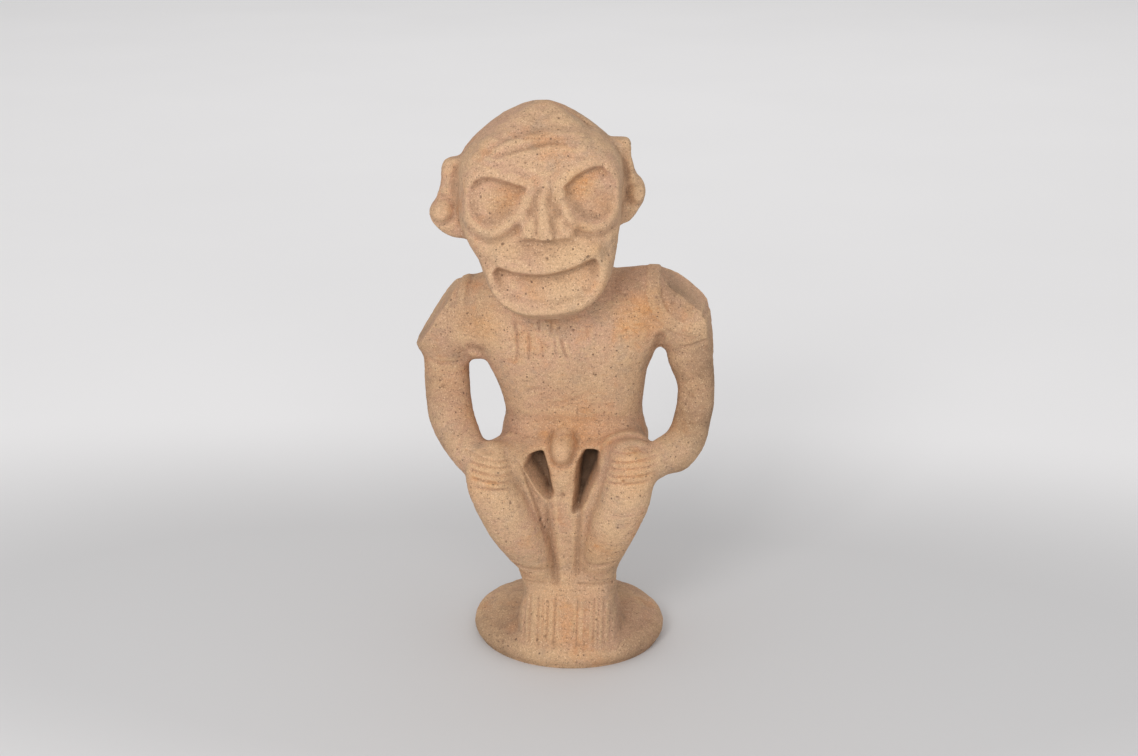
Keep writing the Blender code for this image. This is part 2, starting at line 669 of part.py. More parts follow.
# Lines down the chest, the crease over the hips and a pit, as x and height on the front
CHEST_LINES = [
    [(-31, 214), (-28.6, 203), (-28.2, 192), (-30, 180.6)],
    [(-21.6, 206), (-20.9, 195.8), (-21.8, 184)],
    [(-15, 212), (-15, 204)],
    [(-8, 213), (-8, 202.6)],
    [(-13.9, 199.4), (-12.6, 188.4)],
    [(-2.6, 203), (-0.5, 194), (2.3, 187)],
]
CHEST_LINE_DEPTH = 0.9
CHEST_LINE_WIDTH = 2.6
BELT_LINE = [(-40, 145), (-15, 142.6), (4, 143), (24, 143.6), (47, 147)]
BELT_DEPTH = 0.9
BELT_WIDTH = 4.0
GROIN_PIT = (-0.3, 107)
GROIN_PIT_DEPTH = 1.2
GROIN_PIT_RADIUS = 2.6
KNEES_FROM = -45

# The back is plain: a shallow spine, and a cleft between the buttocks
SPINE_DEPTH = 1.6
SPINE_HALF_WIDTH = 5
SPINE_HEIGHTS = (150, 205)
CLEFT_DEPTH = 3.2
CLEFT_HALF_WIDTH = 6
CLEFT_HEIGHTS = (96, 122)
BACK_MIDDLE = (-0.4, 3)


def carve_body(points, normals):
    """Lines down the chest, a belt crease over the hips, and a plain spine and cleft behind."""
    x, y, z = points.T
    cut = np.zeros(len(x))
    for line in CHEST_LINES:
        cut += CHEST_LINE_DEPTH * groove(x, z, line, CHEST_LINE_WIDTH)
    cut += BELT_DEPTH * groove(x, z, BELT_LINE, BELT_WIDTH)
    pit = np.hypot(x - GROIN_PIT[0], z - GROIN_PIT[1])
    cut += GROIN_PIT_DEPTH * bump(pit, GROIN_PIT_RADIUS)
    points = pushed_back(points, cut * facing_front(normals) * (y > KNEES_FROM))
    spine = SPINE_DEPTH * bump(x - BACK_MIDDLE[0], SPINE_HALF_WIDTH) * between(z, *SPINE_HEIGHTS, 14)
    cleft = CLEFT_DEPTH * bump(x - BACK_MIDDLE[1], CLEFT_HALF_WIDTH) * between(z, *CLEFT_HEIGHTS, 12)
    return pushed_back(points, -(spine + cleft) * facing_front(-normals) * (y > 0))


def carve(item):
    """Cuts every formula into the skin, one after the other."""
    mesh = item.data
    count = len(mesh.vertices)
    points = np.empty(count * 3, np.float32)
    mesh.vertices.foreach_get("co", points)
    normals = np.empty(count * 3, np.float32)
    mesh.vertex_normals.foreach_get("vector", normals)
    points, normals = laid_out(points.reshape(-1, 3)), normals.reshape(-1, 3).astype(float)
    for cut in (carve_shoulders, carve_body, carve_limbs, carve_face):
        points = cut(points, normals)
    mesh.vertices.foreach_set("co", placed(points).astype(np.float32).ravel())
    mesh.update()


def thin_out(item, triangles):
    """A modifier that keeps about this many triangles, most of them where the form bends."""
    count = sum(len(face.vertices) - 2 for face in item.data.polygons)
    thinner = item.modifiers.new("thinner", "DECIMATE")
    thinner.ratio = min(1.0, triangles / count)


def cut_floor(item, cutters):
    """Cuts the underside flat at the floor, with a block that stays as a cutter."""
    bpy.ops.mesh.primitive_cube_add(size=1)
    ground = bpy.context.active_object
    ground.name = "floor cutter"
    span = 4 * BASE_RADIUS
    ground.dimensions = (span, span, BASE_THICKNESS * 2)
    ground.location = (0, 0, -BASE_THICKNESS)
    for holder in list(ground.users_collection):
        holder.objects.unlink(ground)
    cutters.objects.link(ground)
    ground.hide_render = True
    ground.display_type = "WIRE"
    flat = item.modifiers.new("flat underside", "BOOLEAN")
    flat.operation = "DIFFERENCE"
    flat.solver = "EXACT"
    flat.object = ground


def stone_material():
    """Dry matt stone, between tan and brown."""
    stone = bpy.data.materials.new("porous stone")
    stone.use_nodes = True
    shader = stone.node_tree.nodes["Principled BSDF"]
    shader.inputs["Base Color"].default_value = STONE_COLOUR
    shader.inputs["Roughness"].default_value = STONE_ROUGHNESS
    shader.inputs["Metallic"].default_value = 0.0
    return stone


def main():
    clear_scene()
    scene = bpy.context.scene
    part = bpy.data.collections.new("zemi figure")
    masses = bpy.data.collections.new("masses")
    cutters = bpy.data.collections.new("cutters")
    for collection in (part, masses, cutters):
        scene.collection.children.link(collection)
    for add in (body_masses, leg_masses, arm_masses, head_masses, base_disc):
        add(masses)
    bpy.context.view_layer.update()
    figure = new_object("zemi_figure", joined(masses, "zemi_figure"), part)
    add_voxels(figure)
    add_smoothing(figure, 2)
    add_offset(figure, FILLET * UNIT)
    add_voxels(figure)
    add_offset(figure, -FILLET * UNIT)
    add_smoothing(figure, SURFACE_SMOOTHING)
    bake_modifiers(figure)
    carve(figure)
    thin_out(figure, TRIANGLES)
    cut_floor(figure, cutters)
    figure.data.materials.append(stone_material())
    for item in masses.objects:
        item.hide_render = True
        item.display_type = "WIRE"
    return figure


if __name__ == "__main__":
    main()
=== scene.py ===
"""The carved stone figure at full detail, its stone, and the studio that it stands in.

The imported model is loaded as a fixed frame. The figure is built again from the same masses on a
finer skin, with the lines, chips and wear of the real carving, and it stands for the frame's solid.
Lengths in the carving are millimetres. The figure faces -Y and +Z is up.
"""

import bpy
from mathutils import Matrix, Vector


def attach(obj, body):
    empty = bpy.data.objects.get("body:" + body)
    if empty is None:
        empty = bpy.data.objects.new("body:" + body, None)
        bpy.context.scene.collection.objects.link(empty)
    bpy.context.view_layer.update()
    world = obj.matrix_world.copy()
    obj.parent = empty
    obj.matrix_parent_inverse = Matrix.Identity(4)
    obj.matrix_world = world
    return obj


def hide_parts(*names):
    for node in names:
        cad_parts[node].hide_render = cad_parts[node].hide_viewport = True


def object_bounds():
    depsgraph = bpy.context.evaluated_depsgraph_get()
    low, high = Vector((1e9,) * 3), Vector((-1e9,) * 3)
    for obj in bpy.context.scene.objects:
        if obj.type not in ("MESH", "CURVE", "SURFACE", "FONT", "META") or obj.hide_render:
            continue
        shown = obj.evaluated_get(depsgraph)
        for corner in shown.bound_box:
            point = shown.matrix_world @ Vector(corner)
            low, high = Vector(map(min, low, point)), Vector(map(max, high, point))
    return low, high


bl_info = {
    "name": "Zemi figure",
    "version": (1, 0, 0),
    "blender": (4, 5, 0),
    "location": "3D View > Sidebar > Zemi",
    "description": "Carves a squatting stone zemi figure and sets it in a plain studio",
    "category": "Object",
}

import bmesh
import bpy
import numpy as np
from mathutils import Matrix, Vector

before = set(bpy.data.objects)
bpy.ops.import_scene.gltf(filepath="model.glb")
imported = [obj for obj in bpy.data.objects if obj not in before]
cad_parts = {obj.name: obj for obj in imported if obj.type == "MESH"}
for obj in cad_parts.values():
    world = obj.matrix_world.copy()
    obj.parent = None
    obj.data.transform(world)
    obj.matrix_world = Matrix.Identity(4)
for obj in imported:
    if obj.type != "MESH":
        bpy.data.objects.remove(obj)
CAD_BOX = [list(corner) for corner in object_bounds()]
SOLID = "zemi_figure"
MM = 0.001

# How finely the skin is worked, in millimetres
FIRST_SKIN = 1.2
FINE_SKIN = 0.85
FILLET = 2.2
FIRST_SMOOTHING = 3
FINE_SMOOTHING = 11
LAST_SMOOTHING = 2
FINAL_TRIANGLES = 186000

RING_POINTS = 56
RINGS_PER_SPAN = 8
END_STEPS = np.radians([15, 30, 45, 60, 75])


# Surfaces of two parameters


def through(rows, per_span=RINGS_PER_SPAN):
    """Rows on the Catmull-Rom curve through the given rows: a cubic in t between each two."""
    rows = np.asarray(rows, float)
    padded = np.vstack([2 * rows[0] - rows[1], rows, 2 * rows[-1] - rows[-2]])
    t = np.linspace(0, 1, per_span, endpoint=False)[:, None]
    spans = [
        b + (c - a) * t / 2 + (2 * a - 5 * b + 4 * c - d) * t**2 / 2 + (3 * b - a - 3 * c + d) * t**3 / 2
        for a, b, c, d in zip(padded, padded[1:], padded[2:], padded[3:])
    ]
    return np.vstack(spans + [rows[-1:]])


def superellipse(power, count=RING_POINTS):
    """u and v round a ring, with |u|^power + |v|^power = 1."""
    angle = np.linspace(0, 2 * np.pi, count, endpoint=False)
    across, along = np.cos(angle), np.sin(angle)
    return (
        np.sign(across) * np.abs(across) ** (2 / power),
        np.sign(along) * np.abs(along) ** (2 / power),
    )


def limb(stations, side=(1, 0, 0), power=2.2, cap=0.7):
    """Rings along a curved path, with round ends.

    A station is x, y, z, half width along side, half depth. Each ring is the station's centre plus
    u half widths along side and v half depths across it.
    """
    rows = through(stations)
    for end, neighbour in ((0, 1), (-1, -2)):
        outward = rows[end, :3] - rows[neighbour, :3]
        outward /= np.linalg.norm(outward)
        reach = rows[end, 3:].min() * cap
        bulge = [
            np.concatenate([rows[end, :3] + outward * reach * np.sin(a), rows[end, 3:] * np.cos(a)])
            for a in END_STEPS
        ]
        rows = np.vstack([bulge[::-1], rows]) if end == 0 else np.vstack([rows, bulge])
    centre, half_width, half_depth = rows[:, :3], rows[:, 3:4], rows[:, 4:5]
    tangent = np.gradient(centre, axis=0)
    tangent /= np.linalg.norm(tangent, axis=1, keepdims=True)
    across = np.asarray(side, float) - (tangent @ np.asarray(side, float))[:, None] * tangent
    across /= np.linalg.norm(across, axis=1, keepdims=True)
    along = np.cross(tangent, across)
    u, v = superellipse(power)
    return (
        centre[:, None]
        + (across * half_width)[:, None] * u[None, :, None]
        + (along * half_depth)[:, None] * v[None, :, None]
    )


def block(stations, front_power=2.4, back_power=2.4, in_face=False):
    """Level rings, squarer in front and behind by their own powers.

    A station is height, middle x, half width, front y, back y. In the face's own plane x is the
    way to its right and y the way back from it.
    """
    rows = through(stations)
    z, x, half_width, front, back = (rows[:, i : i + 1] for i in range(5))
    fu, fv = superellipse(front_power)
    bu, bv = superellipse(back_power)
    _, side = superellipse(2.0)
    u, v = np.where(side < 0, fu, bu), np.where(side < 0, fv, bv)
    px, py = x + half_width * u, (front + back) / 2 + (back - front) / 2 * v
    if in_face:
        rings = FACE_MIDDLE + px[..., None] * FACE_RIGHT - py[..., None] * FACE_OUT
        rings[..., 2] = z
        return rings
    return np.stack([px, py, np.broadcast_to(z, px.shape)], axis=-1)


def turned(profile, share):
    """Rings about the z axis through a profile of radius and height, stretched by share one way."""
    radius, height = np.asarray(profile, float).T
    angle = np.linspace(0, 2 * np.pi, 2 * RING_POINTS, endpoint=False)
    longer, shorter = 1 + share, 1 - share
    a, b = radius[:, None] * longer * np.cos(angle), radius[:, None] * shorter * np.sin(angle)
    c, s = np.cos(LONGEST_WAY), np.sin(LONGEST_WAY)
    return np.stack([a * c - b * s, a * s + b * c, np.broadcast_to(height[:, None], a.shape)], axis=-1)


def closed_faces(rings, offset):
    """Quads between neighbouring rings and a cap on the first and the last."""
    count, size = rings.shape[:2]
    row, col = np.meshgrid(np.arange(count - 1), np.arange(size), indexing="ij")
    here, beside = row * size + col, row * size + (col + 1) % size
    sides = np.stack([here, beside, beside + size, here + size], axis=-1).reshape(-1, 4) + offset
    first = list(range(offset, offset + size))[::-1]
    last = list(range(offset + (count - 1) * size, offset + count * size))
    return sides.tolist() + [first, last]


# The masses, in millimetres

FACE_MIDDLE = np.array([-9.0, -58.0, 285.0])
FACE_TURN = np.radians(8.0)
FACE_RIGHT = np.array([np.cos(FACE_TURN), np.sin(FACE_TURN), 0.0])
FACE_OUT = np.array([np.sin(FACE_TURN), -np.cos(FACE_TURN), 0.0])
FACE_BACK = -44
FACE_LOWEST = -70
FOREHEAD_LOWEST = 15

BASE_RADIUS = 59.5
BASE_RIM = 7.25
BASE_THICKNESS = 20.0
BASE_OUT_OF_ROUND = 0.018
LONGEST_WAY = np.radians(135)

LEGS_WEB = [
    (12, -16, -30, -10, -34, 18, 26, -30, 22), (30, -14, -30, -4, -34, 8, 20, -30, 20),
    (42, -13, -31, -3, -34, 6, 17, -31, 19), (52, -13, -32, -2.6, -34, 6, 16, -32, 19),
    (62, -13, -35, -3.2, -35.5, 6.3, 17, -35, 20), (70, -15, -39, -3.6, -37, 6.4, 19, -39, 22),
    (82, -20, -44, -4.1, -39, 6.6, 22, -44.5, 25), (95, -26, -48.5, -4.6, -40, 6.9, 26, -49, 28),
    (105, -31, -50, -5.4, -39.5, 7.2, 29, -51, 30), (115, -35, -51, -7, -38.5, 7.2, 32, -52, 30),
    (124, -38, -50, -9, -36, 7.2, 35, -51, 28), (131, -39, -44, -9, -31.5, 7, 36, -46, 25),
    (136, -38, -34, -9, -24, 7, 35, -36, 22), (139, -34, -24, -9, -16, 7, 31, -26, 15),
]


def legs_web():
    """Rings of the stone between the legs: a flat front strip between two planes out to the shins.

    A station is height, then x and y of the right shin's edge, of the strip's right edge, the x of
    its left edge, x and y of the left shin's edge, and the back y. Sides are straight lines.
    """
    rows = through(LEGS_WEB)
    z, xr, yr, xa, ya, xb, xl, yl, back = rows.T
    corners = np.array([(xr, back), (xr, yr), (xa, ya), (xb, ya), (xl, yl), (xl, back)])
    share = np.linspace(0, 1, 8, endpoint=False)[:, None, None]
    sides = [a + (b - a) * share for a, b in zip(corners, np.roll(corners, -1, axis=0))]
    flat = np.vstack(sides).transpose(2, 0, 1)
    return np.concatenate([flat, np.broadcast_to(z[:, None, None], (*flat.shape[:2], 1))], axis=2)


def body_masses():
    """Torso, buttocks, neck, and the stone between the legs."""
    yield block([
        (124, 3.5, 42, -19, 30), (130, 3.5, 45, -24, 32), (137, 3, 43.5, -25, 33),
        (145, 3, 41.6, -25, 32), (154, 2.3, 42.6, -26, 31), (165, 1.2, 44.8, -27, 31),
        (175, -0.5, 48, -29, 32), (188, -1.5, 54, -31, 33), (200, -2.5, 59, -31, 34),
        (212, -3.5, 61, -29, 33), (222, -4.5, 58, -25, 30), (229, -5, 50, -17, 24),
        (232, -5, 40, -10, 18),
    ])
    yield block([
        (80, 3, 14, 8, 24), (87, 3, 27, 2, 33), (98, 3, 35, 0, 39), (112, 3, 38, -1, 41),
        (126, 3, 39, -4, 39), (136, 3, 40, -6, 34),
    ])
    yield legs_web()
    yield block([
        (103, -0.4, 3.0, -38, -20), (109, -0.7, 5.2, -40.5, -20), (117, -1.0, 7.8, -41, -20),
        (123, -1.2, 8.8, -39.5, -18), (128, -1.2, 8.4, -35, -16),
    ], front_power=3.0)
    yield limb([(-3, 2, 215, 34, 26), (-6, -4, 236, 31, 26), (-9, -8, 256, 31, 27)])
    yield limb([(-0.8, -27, 139, 6.4, 6), (-1, -33, 133.5, 7.2, 7.4), (-1.2, -36, 128.5, 6.4, 6.2)], cap=0.8)


def leg_masses():
    """Each leg: a thigh that comes forward and up to the knee, and a shin. Then both feet."""
    yield limb([
        (-22, 14, 113, 20, 18), (-29.5, -12, 117, 19.5, 18), (-36.5, -33, 119, 18, 19),
        (-44.5, -44, 126, 13, 14),
    ])
    yield limb([
        (28, 14, 115, 20, 18), (32.5, -12, 121, 20, 19), (37.5, -33, 123, 19, 20.5),
        (42, -44, 130, 14.5, 14),
    ])
    yield limb([
        (-45, -45, 126, 13.5, 13), (-41.5, -48, 114, 14.3, 14), (-36.2, -47, 102, 15, 15),
        (-29.6, -43, 88, 15.2, 15.5), (-22.6, -37, 74, 14, 15), (-17.6, -30, 61, 12, 13.5),
        (-15.5, -25, 49, 11.6, 12.5), (-14, -21, 36, 12, 12),
    ])
    yield limb([
        (42.5, -45, 130, 15, 13), (39.8, -48, 118, 14.6, 14), (36.6, -47, 106, 14.8, 15),
        (31.4, -44, 92, 14.4, 15.5), (26.4, -38, 78, 13.2, 15), (22.6, -31, 64, 11.4, 13.5),
        (21.3, -25, 51, 10.2, 12.5), (20, -21, 38, 11.2, 12),
    ])
    yield block([
        (10, 2.8, 32.2, -54, 4), (14, 2.8, 32, -53, 4), (20, 2.7, 31.5, -51, 3),
        (28, 2.5, 30.2, -47.5, 2), (35, 2.4, 28.2, -43.5, 0), (41, 2.6, 26.6, -40, -2),
        (47, 2.8, 25.2, -37.6, -4), (52, 3, 23.6, -36, -6), (56, 3, 21, -33, -8),
    ], front_power=4.0, back_power=3.0)


def arm_masses():
    """Each arm: a broad shoulder, and a bowed arm whose hand rests on the knee."""
    yield limb([
        (-34, 3, 207.5, 20, 21), (-55, 3, 203.4, 20, 25.7), (-70, 2, 200, 19, 22), (-78, 1, 190, 16, 16),
    ], side=(0, 1, 0), power=2.6, cap=0.9)
    yield limb([
        (32, 3, 214.5, 20, 21), (50, 3, 212.2, 20, 24.6), (65, 2, 209, 19, 21), (73.5, 1, 198, 16, 16),
    ], side=(0, 1, 0), power=2.6, cap=0.9)
    yield limb([
        (-77, 1, 192, 14.5, 15), (-74.5, 0, 178, 13.6, 13.5), (-74, -2, 166, 13.8, 13.5),
        (-72.8, -7, 154, 13.8, 13), (-69.4, -15, 143.5, 13.2, 13), (-62.5, -26, 134.5, 12, 12),
        (-55, -37, 128, 10.5, 11), (-48, -45, 126, 10, 10.5),
    ])
    yield limb([
        (73.4, 1, 198, 14.3, 14), (73, 0, 184, 13.9, 13.5), (76.7, -3, 169, 11.4, 12.5),
        (77, -6, 158, 11.2, 12), (75.6, -11, 147.5, 11.2, 12), (72.8, -18, 138, 11.4, 12.6),
        (67, -26, 131.5, 11.4, 13), (57.5, -36, 130, 10.6, 10.5), (50, -44, 128, 10, 10.5),
    ])


def head_masses():
    """The skull with its flat face and low crown, and the two ears with their plugs."""
    yield block([
        (218, 1.5, 7, 7, 30), (220.5, 1.5, 16, 2.5, 38), (226, 1.5, 25.5, 0.5, 46),
        (234, 2, 33, -0.5, 55), (243, 2.6, 37, -0.5, 66), (252, 2.0, 40, 0.5, 76),
        (261, 0.2, 43.6, 1, 84), (272, -1, 46.6, 1, 89), (285, -1, 47, 0.5, 92),
        (298, -0.5, 47, 0.5, 93), (307, 0, 45.5, 2, 92), (314, 0.6, 41, 5, 90),
        (319, 0.8, 35.8, 9, 87), (324, 0.8, 29.8, 14, 82), (329, 0.8, 22.6, 21, 74),
        (333.8, 1, 14.2, 29, 64), (337.2, 1.2, 6.6, 37, 54), (338.4, 1.2, 2.2, 42, 48),
    ], front_power=4.5, in_face=True)
    yield block([
        (259, -43, 8, 36, 48), (261, -45.5, 10, 34, 51), (264, -48, 12, 33, 53),
        (268, -50, 13.4, 32, 54), (272.5, -51.5, 14, 32, 54), (277, -51.2, 13.6, 32, 54),
        (281.5, -49.4, 11.8, 34, 53), (286, -48.6, 11.2, 36, 51), (291, -47.5, 10.4, 36, 51),
        (299, -47.2, 10.4, 36, 51), (303, -46.6, 9.8, 36, 51), (305.6, -45.4, 8.6, 37, 50),
    ], front_power=3.0, back_power=3.0, in_face=True)
    yield block([
        (267, 43, 8, 35, 50), (270, 44.5, 9.5, 34, 52), (275, 46.5, 11, 33, 53),
        (281, 48.3, 11.8, 32, 54), (287, 48.6, 12, 32, 54), (291.5, 47.6, 11.4, 33, 53),
        (295.6, 45.2, 10, 35, 52), (300, 44.4, 9.6, 36, 51), (306, 43, 9.4, 36, 51),
        (312, 42.8, 9.6, 36, 51), (316.5, 42.4, 9.4, 37, 50),
    ], front_power=3.0, back_power=3.0, in_face=True)


def base_mass():
    """The round base: a cushion-edged disc with a low domed top."""
    turns = np.linspace(np.pi / 2, -np.pi / 3, 16)
    edge = [(BASE_RADIUS - BASE_RIM + BASE_RIM * np.cos(a), BASE_RIM + BASE_RIM * np.sin(a)) for a in turns]
    dome = BASE_THICKNESS - 2 * BASE_RIM
    top = [
        (0.05, BASE_THICKNESS), (BASE_RADIUS * 0.45, BASE_THICKNESS - dome * 0.08),
        (BASE_RADIUS * 0.75, BASE_THICKNESS - dome * 0.45),
    ]
    yield turned((top + edge + [(edge[-1][0], -BASE_RIM), (0.05, -BASE_RIM)])[::-1], BASE_OUT_OF_ROUND)


def joined_masses():
    """One mesh that holds every mass, still as closed shapes that overlap."""
    points, faces, offset = [], [], 0
    for masses in (body_masses, leg_masses, arm_masses, head_masses, base_mass):
        for rings in masses():
            points.append(rings.reshape(-1, 3))
            faces += closed_faces(rings, offset)
            offset += len(points[-1])
    mesh = bpy.data.meshes.new("masses")
    mesh.from_pydata((np.vstack(points) * MM).tolist(), [], faces)
    return mesh


# The skin


def voxels(size):
    """A modifier that wraps everything in one even skin."""
    return "REMESH", {"mode": "VOXEL", "voxel_size": size * MM}


def moved_out(distance):
    """A modifier that moves the skin outwards."""
    return "DISPLACE", {"direction": "NORMAL", "mid_level": 0.0, "strength": distance * MM}


def smoothing(passes):
    """A modifier that softens the skin, as weathering does."""
    return "SMOOTH", {"factor": 0.5, "iterations": passes}


def thinning(item, triangles):
    """A modifier that leaves about so many triangles, fewest where the skin is flattest."""
    count = sum(len(face.vertices) - 2 for face in item.data.polygons)
    return "DECIMATE", {"ratio": min(1.0, triangles / count)}


def work_skin(item, *modifiers):
    """Replaces an object's mesh by what modifiers make of it, one after another."""
    for kind, values in modifiers:
        modifier = item.modifiers.new(kind.lower(), kind)
        for name, value in values.items():
            setattr(modifier, name, value)
    depsgraph = bpy.context.evaluated_depsgraph_get()
    mesh = bpy.data.meshes.new_from_object(item.evaluated_get(depsgraph))
    item.modifiers.clear()
    item.data = mesh


def points_of(mesh):
    """The mesh's points in millimetres."""
    points = np.empty(len(mesh.vertices) * 3, np.float32)
    mesh.vertices.foreach_get("co", points)
    return points.reshape(-1, 3).astype(float) / MM


def normals_of(mesh):
    """The mesh's vertex normals."""
    normals = np.empty(len(mesh.vertices) * 3, np.float32)
    mesh.vertex_normals.foreach_get("vector", normals)
    return normals.reshape(-1, 3).astype(float)


def set_points(mesh, points):
    """Puts points in millimetres into the mesh."""
    mesh.vertices.foreach_set("co", (points * MM).astype(np.float32).ravel())
    mesh.update()


def carve(item, cuts):
    """Moves the skin's points by each formula in turn."""
    for cut in cuts:
        set_points(item.data, cut(points_of(item.data), normals_of(item.data)))


# Carving formulas


def ease(x):
    """0 up to 0, 1 from 1 on, and 3x^2 - 2x^3 between them."""
    x = np.clip(x, 0, 1)
    return x * x * (3 - 2 * x)


def bump(distance, reach):
    """1 at distance 0, easing to 0 at the reach on either side."""
    return 1 - ease(np.abs(distance) / reach)


def between(x, low, high, soft):
    """1 from low to high, easing to 0 within soft outside them."""
    return ease((x - low) / soft + 1) * ease((high - x) / soft + 1)


def dome(distance, reach=1):
    """1 out to 3/8 of the reach, easing to 0 at the reach."""
    return ease(1.6 - 1.6 * distance / reach)


def to_run(x, y, start, end):
    """Distance of flat points from a straight run, and the share of the way along it."""
    run = end - start
    t = np.clip(((x - start[0]) * run[0] + (y - start[1]) * run[1]) / (run @ run), 0, 1)
    return np.hypot(x - start[0] - t * run[0], y - start[1] - t * run[1]), t


def to_path(x, y, path, limit=None):
    """Distance of flat points from a smooth path, and the share of the way along it, 0 to 1.

    With a limit, points further off than that from the path's box are left at the limit.
    """
    path = through(path, 6)
    best = np.full(x.shape, 1e3 if limit is None else limit)
    along = np.zeros(x.shape)
    pick = slice(None)
    if limit is not None:
        low, high = path.min(axis=0) - limit, path.max(axis=0) + limit
        pick = (x > low[0]) & (x < high[0]) & (y > low[1]) & (y < high[1])
    px, py, near, share = x[pick], y[pick], best[pick], along[pick]
    for i, (start, end) in enumerate(zip(path, path[1:])):
        distance, t = to_run(px, py, start, end)
        nearer = distance < near
        near = np.where(nearer, distance, near)
        share = np.where(nearer, (i + t) / (len(path) - 1), share)
    best[pick], along[pick] = near, share
    return best, along


def groove(x, y, path, width, fade=0.12):
    """A cut along a path: 1 in its middle, 0 at half its width, and running out at both ends."""
    distance, along = to_path(x, y, path, width)
    return bump(distance, width / 2) * ease(along / fade) * ease((1 - along) / fade)


def inside(x, y, corners):
    """Distance of flat points inside a closed outline, and below 0 outside it."""
    outline = np.vstack([corners, corners[:1]]).astype(float)
    nearest = np.full(x.shape, 1e3)
    within = np.zeros(x.shape, bool)
    for start, end in zip(outline, outline[1:]):
        run = end - start
        nearest = np.minimum(nearest, to_run(x, y, start, end)[0])
        crosses = (start[1] > y) != (end[1] > y)
        rise = np.where(run[1] == 0, 1, run[1])
        within ^= crosses & (x < start[0] + (y - start[1]) * run[0] / rise)
    return np.where(within, nearest, -nearest)


def inside_curve(x, y, *paths):
    """Distance of flat points inside the outline that smooth paths make one after another."""
    return inside(x, y, np.vstack([through(path, 4) for path in paths]))


def facing_front(normals):
    """1 where the skin faces forwards, falling to 0 where it faces sideways."""
    return ease((-normals[:, 1] - 0.1) / 0.4)


def pushed_back(points, distance):
    """Points moved towards the back of the figure."""
    return points + distance[:, None] * np.array([0.0, 1.0, 0.0])


# The narrow blind slots on either side of the groin: x and height seen from the front
SLOTS = [
    [
        (-22.8, 123), (-20.6, 128.6), (-13.2, 129.8), (-10.2, 121), (-6.4, 106), (-8.4, 102.6),
        (-11.6, 104.5), (-16.4, 113),
    ],
    [
        (9.0, 125), (12, 131), (21, 131.8), (20.4, 122), (15.2, 110), (9.6, 96.5), (6.6, 95),
        (7.8, 114),
    ],
]
SLOT_DEPTH = 20
SLOT_WALL = 4.4
SLOT_SPREAD = 0.38
SLOT_LEAN = 0.2
SLOT_FRONT = -8
LEAD_IN_DEPTH = 3.5
LEAD_IN_REACH = 9
LEAD_IN_HEIGHTS = (118, 131)
# How dark the painted shade is in each slot, and the y range that it keeps to
SLOT_DARKNESS = (0.65, 1.0)
SHADE_FRONT = -36
SHADE_BACK = 2


def cut_slots(points, normals):
    """Pushes the skin inside each slot's outline straight back, behind a shallow lead-in."""
    x, y, z = points.T
    cut = np.zeros(len(x))
    for outline in SLOTS:
        cut += SLOT_DEPTH * ease(inside(x, z, outline) / SLOT_WALL + SLOT_SPREAD)
        middle = np.mean(outline, axis=0)
        aside = x - middle[0] - SLOT_LEAN * (z - middle[1]) * np.sign(middle[0])
        cut += LEAD_IN_DEPTH * bump(aside, LEAD_IN_REACH) * between(z, *LEAD_IN_HEIGHTS, 8)
    return pushed_back(points, cut * (y < SLOT_FRONT) * ease((-normals[:, 1] + 0.2) / 0.4))


def slot_shade(points):
    """1 deep inside the slots, where the stone is darkened as painted shade, and 0 elsewhere."""
    x, y, z = points.T
    shade = np.zeros(len(x))
    for outline, darkness in zip(SLOTS, SLOT_DARKNESS):
        shade = np.maximum(shade, darkness * ease(inside(x, z, outline) / 3.4 + 0.35))
    return shade * ease((y - SHADE_FRONT) / 18) * ease((SHADE_BACK - y) / 4)


# The flat facets on the outer shoulders: a place on each, the way it faces, and where it starts
SHOULDER_FACETS = [
    {"side": -1, "at": (-65.5, 0, 228.6), "facing": (-0.82, -0.12, 0.54), "starts": 182, "full": 188},
    {"side": 1, "at": (55.5, 0, 236.4), "facing": (0.634, -0.1, 0.773), "starts": 182, "full": 188},
    {"side": 1, "at": (82.5, 0, 210), "facing": (0.985, -0.1, 0.17), "starts": 180, "full": 200},
]
SHOULDER_TOP = 246
SHOULDER_INNER_SIDE = 44


def cut_shoulders(points, normals):
    """Dresses the outer shoulders flat: what stands out past a facet is pushed back onto it."""
    for facet in SHOULDER_FACETS:
        x, z = points[:, 0], points[:, 2]
        facing = np.asarray(facet["facing"]) / np.linalg.norm(facet["facing"])
        reached = ease((z - facet["starts"]) / (facet["full"] - facet["starts"]))
        reached = reached * ease((SHOULDER_TOP - z) / 6)
        reached *= ease((x * facet["side"] - SHOULDER_INNER_SIDE) / 6)
        over = np.clip((points - np.asarray(facet["at"])) @ facing, 0, None) * reached
        points = points - over[:, None] * facing
    return points


KIDNEY = [
    (54.8, 250), (54.9, 236), (55.4, 225), (59, 216), (66, 209.4), (74, 208), (84, 209.4),
    (95, 214), (92, 236), (74, 252),
]
STRAP = [(50.6, 248), (50.8, 233), (51.6, 222.5), (56.4, 213), (65.4, 206), (74, 203.8), (85, 205.6)]
RIDGE_STRIP = [(-61.6, 238), (-62.4, 225), (-63.8, 212)]
SLEEVE_RIGHT = [(-85, 180.4), (-76, 178.2), (-64, 178)]
SLEEVE_LEFT = [(65.5, 191.5), (74, 193), (84.5, 196.8)]
SLEEVES = [(SLEEVE_RIGHT, 3.6, 1.0), (SLEEVE_LEFT, 3.8, 1.2)]
ARMPITS = [
    ([(51.2, 186), (54.5, 194), (56.8, 204)], 9.0, 4.2),
    ([(-62, 188), (-56, 188), (-48, 184)], 12.0, 2.2),
]
FACETS_START = 192
FACETS_END = 20
FACET_DEPTH = 1.6
FACET_DISH = 0.8
STRAP_RISE = 1.1
STRAP_HALF_WIDTH = 4.4
STRIP_RISE = 1.2
STRIP_HALF_WIDTH = 2.5
STRIP_GROOVE = 0.6


